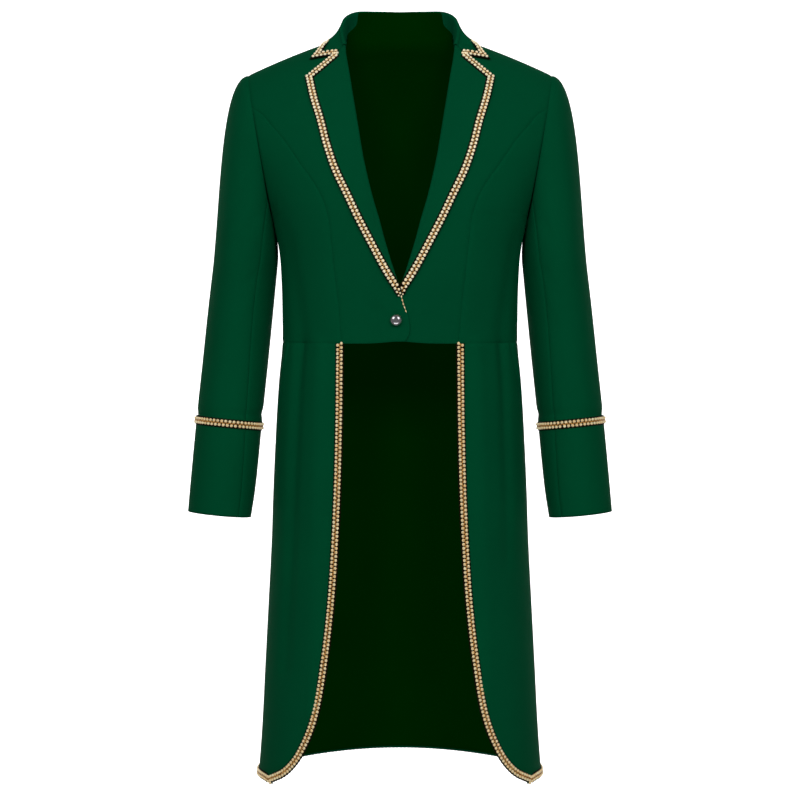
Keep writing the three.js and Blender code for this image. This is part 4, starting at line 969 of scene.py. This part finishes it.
def lapel_centre(lift):
    """The middle of the lapel's braid, and its width: up the free edge, round the tip, past the notch."""
    ups = np.linspace(LAPEL_BRAID_START, LAPEL_BRAID_TOP, 140)
    fold, edge = (lapel_surface(ups, out + 0 * ups, lift)[0] for out in (0, 1))
    span = np.linalg.norm(fold - edge, axis=1)
    outs = 1 - np.minimum(BRAID_WIDTH / 2 / span, 0.5)
    top = (NOTCH_X - NOTCH_CLEAR - GORGE_X) / (LAPEL_EDGE["x"][-1] - GORGE_X)
    back = np.linspace(outs[-1], top, 30)[1:]
    line_ups = np.concatenate([ups, np.full(len(back), LAPEL_BRAID_TOP)])
    line, normals = lapel_surface(line_ups, np.concatenate([outs, back]), lift)
    foot, foot_normal = coat_at(*LAPEL_BRAID_FOOT[lift])
    foot = foot + foot_normal * (lift(foot) + LAID + LEAF)
    widths = [FOOT_WIDTH], np.minimum(BRAID_WIDTH, 0.5 * span + 3), np.full(len(back), float(BRAID_WIDTH))
    return np.concatenate([[foot], line]), np.concatenate([[foot_normal], normals]), np.concatenate(widths)


def softened(rows, reach):
    """Rows of values evened out over their neighbours, the first row kept; the last is on the mirror."""
    weight = np.exp(-((np.arange(-2 * reach, 2 * reach + 1) / reach) ** 2))
    weight /= weight.sum()
    before, after = 2 * rows[0] - rows[2 * reach:0:-1], rows[-2:-2 * reach - 2:-1] * MIRROR
    padded = np.concatenate([before, rows, after])
    return np.stack([np.convolve(column, weight, "valid") for column in padded.T], 1)


def inset(edge, normals):
    """The line half a braid's width inside an edge, its corners kept."""
    values = resampled(np.concatenate([edge, normals], 1), LINE_STEP)
    shorter = min((offset(values, side * BRAID_WIDTH / 2) for side in (1, -1)), key=length_of)
    return shorter[:, :3], shorter[:, 3:6]


def tail_centre():
    """The middle of a tail's braid: down the front edge and along the hem to the centre back."""
    down = np.linspace(0, 1, 200)
    edge_angles = tail_edge_angle(down)
    round_hem = np.linspace(edge_angles[-1], 180, 120)[1:]
    angles = np.concatenate([edge_angles, round_hem])
    shares = np.concatenate([down, np.ones(len(round_hem))])
    return inset(skirt_point(angles, shares), skirt_normal(angles, shares))


def fall_normal(at, share):
    return normal_of(fall_point, at, np.minimum(share, 0.97), lambda p: vec(0 * p[..., 0], 0, 1))


def cuff_line():
    """The middle of a sleeve's braid, once round."""
    turns = np.linspace(0, 360, 200, endpoint=False)
    length = 1 + (CUFF_BRAID_Z - BRAID_WIDTH / 2 - ARM_TOP) / (ARM_END - ARM_TOP)
    return sleeve_point(turns, length), sleeve_normal(turns, length + 0 * turns)


COLLAR_START_X = 88.5  # where its lower end meets the lapel's braid
EDGE_SOFT, NORMAL_SOFT = 7, 5  # how many rows the collar's edge is evened out over


def collar_centre():
    """The middle of the collar's braid: along its front edge, round the tip and round to the back."""
    shares = np.linspace(KNEE_SHARE, 1, 40)
    around = np.linspace(1, 0, 140)[1:]
    at = np.concatenate([np.ones(len(shares)), around])
    share = np.concatenate([shares, np.ones(len(around))])
    edge, normals = fall_point(at, share), fall_normal(at, share)
    after_tip = len(shares)
    edge[after_tip:] = softened(edge[after_tip:], EDGE_SOFT)
    normals[after_tip:] = softened(normals[after_tip:], NORMAL_SOFT)
    line, normals = inset(edge, unit(normals))
    start, start_normals = laid(np.array([COLLAR_START_X]), line[:1, 2], LEAF + COLLAR_LAID)
    line, normals = np.concatenate([start, line]), np.concatenate([start_normals, normals])
    other, other_normals = mirror_line(line[:-1][::-1], normals[:-1][::-1])
    return np.concatenate([line, other]), np.concatenate([normals, other_normals])


# ---- Linings ------------------------------------------------------------------------------------------
LINING_LAID = 1.0
STAND_TOP = 0.97


def lining_back_grid():
    """From the waist up the inside of the back to the neck seam, and on up the collar's stand."""
    last_at, neck_at, top_at = 0.42, 0.585, 0.405
    ats = np.linspace(-last_at, last_at, 65)
    levels = even(lambda v: body_point(-1, 20 + 0 * v, v), -1, 0.895, LINING_STEP)
    levels = joined(levels, -1 + EDGE_NEAR[1:] / BODICE_LENGTH)
    neck_angle = angle_at_x(-1, levels, lambda z: NECK_X + 0 * z)
    edge = lerp(armhole_edge(-1, levels) - 1, neck_angle, smooth(levels, 0.2, 1))
    angles = edge[:, None] * ats[None] / last_at
    grid_levels = np.repeat(levels[:, None], len(ats), 1)
    mirror = vec(np.sign(ats + 1e-9), 1, 1)[None]
    points = body_point(-1, np.abs(angles), grid_levels) * mirror
    normals = body_normal(-1, np.abs(angles), grid_levels) * mirror
    at = np.abs(ats) / last_at
    neck = neck_point(at * neck_at)
    neck_normal = coat_at(neck[:, 0], neck[:, 2], -1)[1]
    stand, turned = [], []
    for share in np.linspace(0.1, STAND_TOP, 9):
        places = at * lerp(neck_at, top_at, smooth(share, 0.05, 0.6))
        fold, _, outwards, _ = collar_line(places)
        row = lerp(neck_point(places), fold - outwards * FOLD_RADIUS, share)
        stand.append((row - outwards * 0.7) * mirror[0])
        turned.append(outwards * mirror[0])
    depth = CLOTH + LINING_LAID
    rows = np.concatenate([points - normals * depth, [(neck - neck_normal * depth) * mirror[0]], stand])
    return rows, np.concatenate([normals, [neck_normal * mirror[0]], turned])


def lining_tails_grid():
    """From one tail's side seam round the back to the other's, 3 mm short of the hem."""
    last = 1 - 3 / SKIRT_LENGTH
    shares = even(lambda v: skirt_point(150 + 0 * v, v), 0, last, LINING_STEP)
    shares = joined(shares, EDGE_NEAR[1:] / SKIRT_LENGTH)
    seam = tail_seam_angle(shares)[:, None] + 0.5
    angles = lerp(seam, 360 - seam, np.linspace(0, 1, 111)[None])
    turned = np.minimum(angles, 360 - angles)
    grid = np.repeat(shares[:, None], angles.shape[1], 1)
    mirror = np.where((angles > 180)[..., None], MIRROR, 1)
    points, normals = skirt_point(turned, grid) * mirror, skirt_normal(turned, grid) * mirror
    return points - normals * (CLOTH + LINING_LAID), normals


# ---- Button -------------------------------------------------------------------------------------------
BUTTON_X, BUTTON_Z, BUTTON_RADIUS, BUTTON_DOME, BUTTON_RIM = -5.5, -416, 8.5, 5.2, 1.1
SHANK_HIGH, BUTTON_SIDES = 1.6, 64


def button_profile():
    """Radius and height from the shank out, round the rim and over the dome."""
    rows = [(0.02, 0), (2.6, 0), (3, 0.3), (3, SHANK_HIGH), (BUTTON_RADIUS - BUTTON_RIM, SHANK_HIGH)]
    for turn in np.linspace(-60, 60, 7):
        out = BUTTON_RADIUS - BUTTON_RIM * 0.45 + BUTTON_RIM / 2 * cos(turn)
        rows.append((out, SHANK_HIGH + BUTTON_RIM / 2 * (1 + sin(turn))))
    for turn in np.linspace(6, 89.6, 22):
        rows.append(((BUTTON_RADIUS - 0.45) * cos(turn), SHANK_HIGH + BUTTON_RIM + BUTTON_DOME * sin(turn)))
    return np.array(rows, float)


def make_button():
    profile = button_profile()
    turns = np.arange(BUTTON_SIDES) / BUTTON_SIDES * 360
    rings = np.stack([
        profile[:, :1] * cos(turns)[None], profile[:, :1] * sin(turns)[None],
        np.repeat(profile[:, 1:], BUTTON_SIDES, 1),
    ], -1)
    point, normal = coat_at(-BUTTON_X, BUTTON_Z)
    point, normal = mirror_line(point + normal * (lap_lift(point) + LAID), normal)
    side = unit(np.cross([0, 0, 1], normal))
    rise = np.cross(normal, side)
    points = point + rings[..., :1] * side + rings[..., 1:2] * rise + rings[..., 2:] * normal
    return make_mesh("dome_button", silver, points.reshape(-1, 3), ring_faces(len(profile), BUTTON_SIDES))


RIM_TOP, RIM_END, RIM_POINTS, RIM_SIDES = -381, -406, 90, 8
RIM_IN, RIM_UP = 1.2, 1.0  # mm in from the edge of the right front, and off it
RIM_THICK, RIM_THIN, RIM_SWELL, RIM_PITCH = 0.66, 0.46, 0.7, 5  # radii, and how they swell


def make_front_edge():
    """The rim of braid that shows on the edge of the right front, above the button."""
    z = np.linspace(RIM_TOP, RIM_END, RIM_POINTS)
    point, normal = coat_at(lookup(OVERLAP_EDGE, "x", z) + RIM_IN, z)
    point, normal = mirror_line(point + normal * (lap_lift(point) + RIM_UP)[:, None], normal)
    swell = 1 + RIM_SWELL * np.sin(z * 2 * np.pi / RIM_PITCH)
    radius = np.linspace(RIM_THICK, RIM_THIN, RIM_POINTS) * swell
    return make_mesh("front_edge_braid", gold, *tube_mesh(point, normal, radius, RIM_SIDES))


# ---- Materials ----------------------------------------------------------------------------------------
def linear(*srgb):
    """A colour given from 0 to 255 as it is seen, in the renderer's own numbers."""
    values = [c / 255 for c in srgb]
    return [c / 12.92 if c <= 0.04045 else ((c + 0.055) / 1.055) ** 2.4 for c in values] + [1]


class Nodes:
    """A material's node tree, with short calls to add and join nodes."""

    def __init__(self, name):
        self.material = bpy.data.materials.new(name)
        self.material.use_nodes = True
        self.tree = self.material.node_tree
        self.shader = self.tree.nodes["Principled BSDF"]

    def add(self, kind, inputs=None, **settings):
        node = self.tree.nodes.new("ShaderNode" + kind)
        for key, value in settings.items():
            setattr(node, key, value)
        for key, value in (inputs or {}).items():
            self.put(node.inputs[key], value)
        return node

    def put(self, socket, value):
        if isinstance(value, bpy.types.NodeSocket):
            self.tree.links.new(value, socket)
        else:
            socket.default_value = value

    def set(self, **values):
        for key, value in values.items():
            self.put(self.shader.inputs[key.replace("_", " ")], value)

    def math(self, operation, a, b=0.0, c=0.0):
        node = self.add("Math", operation=operation)
        for socket, value in zip(node.inputs, (a, b, c)):
            self.put(socket, value)
        return node.outputs[0]

    def mix(self, factor, a, b):
        node = self.add("Mix", data_type="RGBA")
        self.put(node.inputs[0], factor)
        self.put(node.inputs[6], a)
        self.put(node.inputs[7], b)
        return node.outputs[2]

    def weighed(self, a, weight_a, b, weight_b):
        """Two values added, each with its own weight."""
        return self.math("ADD", self.math("MULTIPLY", a, weight_a), self.math("MULTIPLY", b, weight_b))

    def noise(self, scale, detail=2.0):
        place = self.add("TexCoord").outputs["Object"]
        return self.add("TexNoise", {"Vector": place, "Scale": scale, "Detail": detail}).outputs["Fac"]

    def bump(self, height, distance):
        bump = self.add("Bump", {"Height": height, "Distance": distance})
        self.put(self.shader.inputs["Normal"], bump.outputs["Normal"])


def cut_waves(nodes, per_metre_u, per_metre_v):
    """Sine waves over the cut's own coordinates: threads that run with or across the cloth."""
    split = nodes.add("SeparateXYZ", {"Vector": nodes.add("UVMap", uv_map="cut").outputs["UV"]})
    phase = nodes.weighed(split.outputs["X"], per_metre_u, split.outputs["Y"], per_metre_v)
    return nodes.math("SINE", nodes.math("MULTIPLY", phase, 2 * math.pi))


def cloth_material(name, body, shade, sheen, rough, thread, weave_depth):
    """Woven cloth: a fine twill in its bump, soft patches in its colour, and a sheen."""
    nodes = Nodes(name)
    patches, threads = nodes.noise(7.0, 3.0), nodes.noise(420.0, 1.0)
    twill, yarn = cut_waves(nodes, 1 / thread, 1 / thread), cut_waves(nodes, 0.0, 2 / thread)
    weave = nodes.weighed(twill, 0.6, yarn, 0.4)
    tone = nodes.math("MULTIPLY_ADD", weave, 0.06, nodes.weighed(patches, 0.7, threads, 0.3))
    nodes.set(
        Base_Color=nodes.mix(tone, shade, body), Roughness=rough, Specular_IOR_Level=0.02,
        Sheen_Weight=sheen, Sheen_Roughness=0.4, Sheen_Tint=linear(0, 150, 95),
    )
    nodes.bump(nodes.math("ADD", weave, nodes.math("MULTIPLY", threads, 0.8)), weave_depth)
    return nodes.material


def lining_material():
    nodes = Nodes("lining_satin")
    nodes.set(
        Base_Color=nodes.mix(nodes.noise(9.0), linear(0, 22, 0), linear(0, 32, 1)), Roughness=0.6,
        # The emission is painted light: the satin glows a little to lift the coat's dark inside.
        Specular_IOR_Level=0.0, Emission_Color=linear(0, 25, 0), Emission_Strength=0.6,
    )
    nodes.bump(cut_waves(nodes, 1 / 0.0004, 0.0), 0.00003)
    return nodes.material


def gold_material(name, low, high, metallic, painted_glow):
    """Metallised cord: twisted threads, every knot with a tone of its own, and a painted glow of its light
    colour.
    """
    nodes = Nodes(name)
    twist = cut_waves(nodes, 1 / 0.0025, 1 / 0.0016)
    flecks = nodes.math("SUBTRACT", nodes.noise(330.0), 0.5)
    spread = nodes.math("MULTIPLY_ADD", flecks, 2.2, 0.5)
    nodes.set(
        Base_Color=nodes.mix(nodes.math("MULTIPLY_ADD", twist, 0.22, spread), low, high),
        Metallic=metallic, Roughness=0.26, Specular_IOR_Level=0.7,
        # Painted light: the cord glows with its light colour though no lamp is in it.
        Emission_Color=high, Emission_Strength=painted_glow,
    )
    nodes.bump(twist, 0.0002)
    return nodes.material


def braid_shade_material():
    nodes = Nodes("braid_painted_shade")
    # Near-black to dark brown: painted shade for the shadow in the braid's holes and round its edges.
    tone = nodes.mix(nodes.noise(700.0), linear(0, 4, 0), linear(30, 20, 6))
    nodes.set(Base_Color=tone, Roughness=0.9, Specular_IOR_Level=0.1)
    return nodes.material


def silver_material():
    nodes = Nodes("button_silver")
    wear = nodes.noise(260.0, 3.0)
    nodes.set(
        Base_Color=nodes.mix(wear, linear(214, 210, 214), linear(238, 236, 240)), Metallic=1.0,
        Roughness=nodes.math("MULTIPLY_ADD", wear, 0.1, 0.08),
    )
    return nodes.material


def stage_material():
    nodes = Nodes("studio_white")
    nodes.set(
        Base_Color=linear(250, 250, 250), Roughness=0.9, Emission_Color=linear(255, 255, 255),
        Emission_Strength=1.0,
    )
    return nodes.material


cloth = cloth_material("green_suiting", linear(0, 74, 44), linear(0, 64, 38), 0.12, 0.8, 0.00075, 0.00005)
lining = lining_material()
# Each gold glows a little with its light colour: painted light.
gold = gold_material("gold_knots", linear(242, 178, 84), linear(255, 248, 206), 0.12, 0.12)
# The lapels and the collar get a lit copy of the knots' gold, brighter and glowing more: painted light, as
# more light falls there than on the tails and cuffs.
gold_lit_copy = gold_material("gold_knots_lit_copy", linear(255, 206, 122), linear(255, 252, 224), 0.1, 0.24)
# The cords' gold is darker and browner than the knots': painted shade where the cords lie low between them.
gold_shade = gold_material("gold_cords", linear(98, 46, 6), linear(230, 172, 88), 0.15, 0.03)
braid_shade = braid_shade_material()
silver = silver_material()

# ---- Camera, stage and lights -------------------------------------------------------------------------
CAMERA_AWAY, CAMERA_Z, LENS = 2.6, -0.527, 80.7

camera_data = bpy.data.cameras.new("camera")
camera_data.lens, camera_data.sensor_width = LENS, 36
camera = collection_link(bpy.data.objects.new("camera", camera_data))
camera.location = (0, -CAMERA_AWAY, CAMERA_Z)
camera.rotation_euler = (math.pi / 2, 0, 0)
bpy.context.scene.camera = camera
bpy.context.scene.view_settings.view_transform = "Standard"


def make_stage():
    """A white floor that curves up into a backdrop."""
    floor_z, back_y, bend, front_y, wide, top = -1.5, 3.7, 0.9, 0.8, 5.0, 3.2
    bend_y = back_y - bend
    profile = [(front_y, floor_z), (bend_y, floor_z)]
    profile += [(bend_y + bend * sin(t), floor_z + bend * (1 - cos(t))) for t in np.linspace(8, 82, 12)]
    profile += [(back_y, floor_z + bend), (back_y, top)]
    points = [(side * wide, y, z) for y, z in profile for side in (-1, 1)]
    faces = [(i, i + 1, i + 3, i + 2) for i in range(0, len(points) - 2, 2)]
    mesh = bpy.data.meshes.new("studio_sweep")
    mesh.from_pydata(points, [], faces)
    mesh.polygons.foreach_set("use_smooth", [True] * len(faces))
    mesh.materials.append(stage_material())
    collection_link(bpy.data.objects.new("studio_sweep", mesh))


def softbox(name, place, wide, tall, watts, shines):
    """An area light that faces the coat; shines says whether glossy things show it."""
    data = bpy.data.lights.new(name, "AREA")
    data.shape, data.size, data.size_y, data.energy = "RECTANGLE", wide, tall, watts
    lamp = collection_link(bpy.data.objects.new(name, data))
    lamp.location = place
    lamp.visible_glossy = shines
    direction = np.array(COAT_MIDDLE) - np.array(place)
    lamp.rotation_euler = (
        math.atan2(math.hypot(direction[0], direction[1]), -direction[2]), 0,
        math.atan2(direction[1], direction[0]) - math.pi / 2,
    )


make_stage()
COAT_MIDDLE = (0.0, 0.0, -0.5)
softbox("key_left", (-0.8, -2.9, 0.85), 0.7, 1.0, 31.5, False)
softbox("key_right", (0.8, -2.9, 0.85), 0.7, 1.0, 32.5, False)
softbox("spark_left", (-1.6, -1.9, 0.8), 1.4, 1.5, 10, True)
softbox("spark_right", (1.6, -1.9, 0.8), 1.4, 1.5, 10, True)
softbox("low_strip", (0, -0.95, -1.6), 1.5, 0.45, 3, True)
world = bpy.data.worlds.new("studio_air")
world.use_nodes = True
world.node_tree.nodes["Background"].inputs["Color"].default_value = (1, 1, 1, 1)
world.node_tree.nodes["Background"].inputs["Strength"].default_value = 0.12
bpy.context.scene.world = world


# ---- The coat's pieces --------------------------------------------------------------------------------
KINDS = {"cloth": (cloth, "coat_cloth"), "satin": (lining, "lining")}


def add_sheet(node, kind, grid, thick):
    """A sheet in place of a node's solid; the size of its shown side laid flat is worked out but not used.
    """
    points, normals = grid
    material, slot = KINDS[kind]
    piece = shell(f"{node}_{kind}", points, normals, thick, material)
    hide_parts(node)
    across, down = (run.max() / 1000 for run in runs(points))


def collar_grid():
    """The whole collar, from the wearer's right end to the left one."""
    ats = np.concatenate([np.linspace(0, 0.9, 56), np.linspace(0.91, 1, 9)])
    half = collar_half(ats, np.linspace(0.06, 1, 20))
    whole = np.concatenate([half[:0:-1] * MIRROR, half])
    normals = grid_normals(whole)
    top_of_fold = 13
    return whole, normals * np.sign(normals[len(whole) // 2, top_of_fold, 2])


front_left = front_grid(UNDERLAP_EDGE, no_lift, 1)
front_right = mirrored(*front_grid(OVERLAP_EDGE, lap_lift, -1))
add_sheet("front_left", "cloth", front_left, CLOTH)
add_sheet("front_right", "cloth", front_right, CLOTH)
for part, grid_of, under in (
    ("side_front", side_front_grid, ["front"]), ("back", back_grid, []),
    ("tail_front", tail_front_grid, ["side_front"]), ("tail_back", tail_back_grid, ["back"]),
    ("sleeve_upper", sleeve_upper_grid, ["back"]), ("sleeve_under", sleeve_under_grid, ["back"]),
):
    for side, grid in (("left", grid_of(1)), ("right", mirrored(*grid_of(-1)))):
        add_sheet(f"{part}_{side}", "cloth", grid, CLOTH)

LAPEL_UPS = np.concatenate([np.linspace(0, 0.1, 12), np.linspace(0.12, 1, 74)])
lapel_right = mirrored(*lapel_grid(lap_lift, LAPEL_UPS))
add_sheet("lapel_left", "cloth", lapel_grid(no_lift, LAPEL_UPS), LEAF)
add_sheet("lapel_right", "cloth", lapel_right, LEAF)
add_sheet("collar", "cloth", collar_grid(), LEAF)
add_sheet("lining_back", "satin", lining_back_grid(), LINING)
add_sheet("lining_tails", "satin", lining_tails_grid(), LINING)

line, normals, width = lapel_centre(no_lift)
gimp("lapel_braid_left", "braid_lapel_left", line, normals, width, knotted=gold_lit_copy)
line, normals, width = lapel_centre(lap_lift)
gimp("lapel_braid_right", "braid_lapel_right", *mirror_line(line, normals), width, knotted=gold_lit_copy)
gimp("collar_braid", "braid_collar", *collar_centre(), knotted=gold_lit_copy)
for part, centre, closed in (("tail", tail_centre(), False), ("cuff", cuff_line(), True)):
    gimp(f"{part}_braid_left", f"braid_{part}_left", *centre, closed=closed)
    gimp(f"{part}_braid_right", f"braid_{part}_right", *mirror_line(*centre), closed=closed)
front_edge = make_front_edge()
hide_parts("braid_front_edge")
dome = make_button()
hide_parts("button")
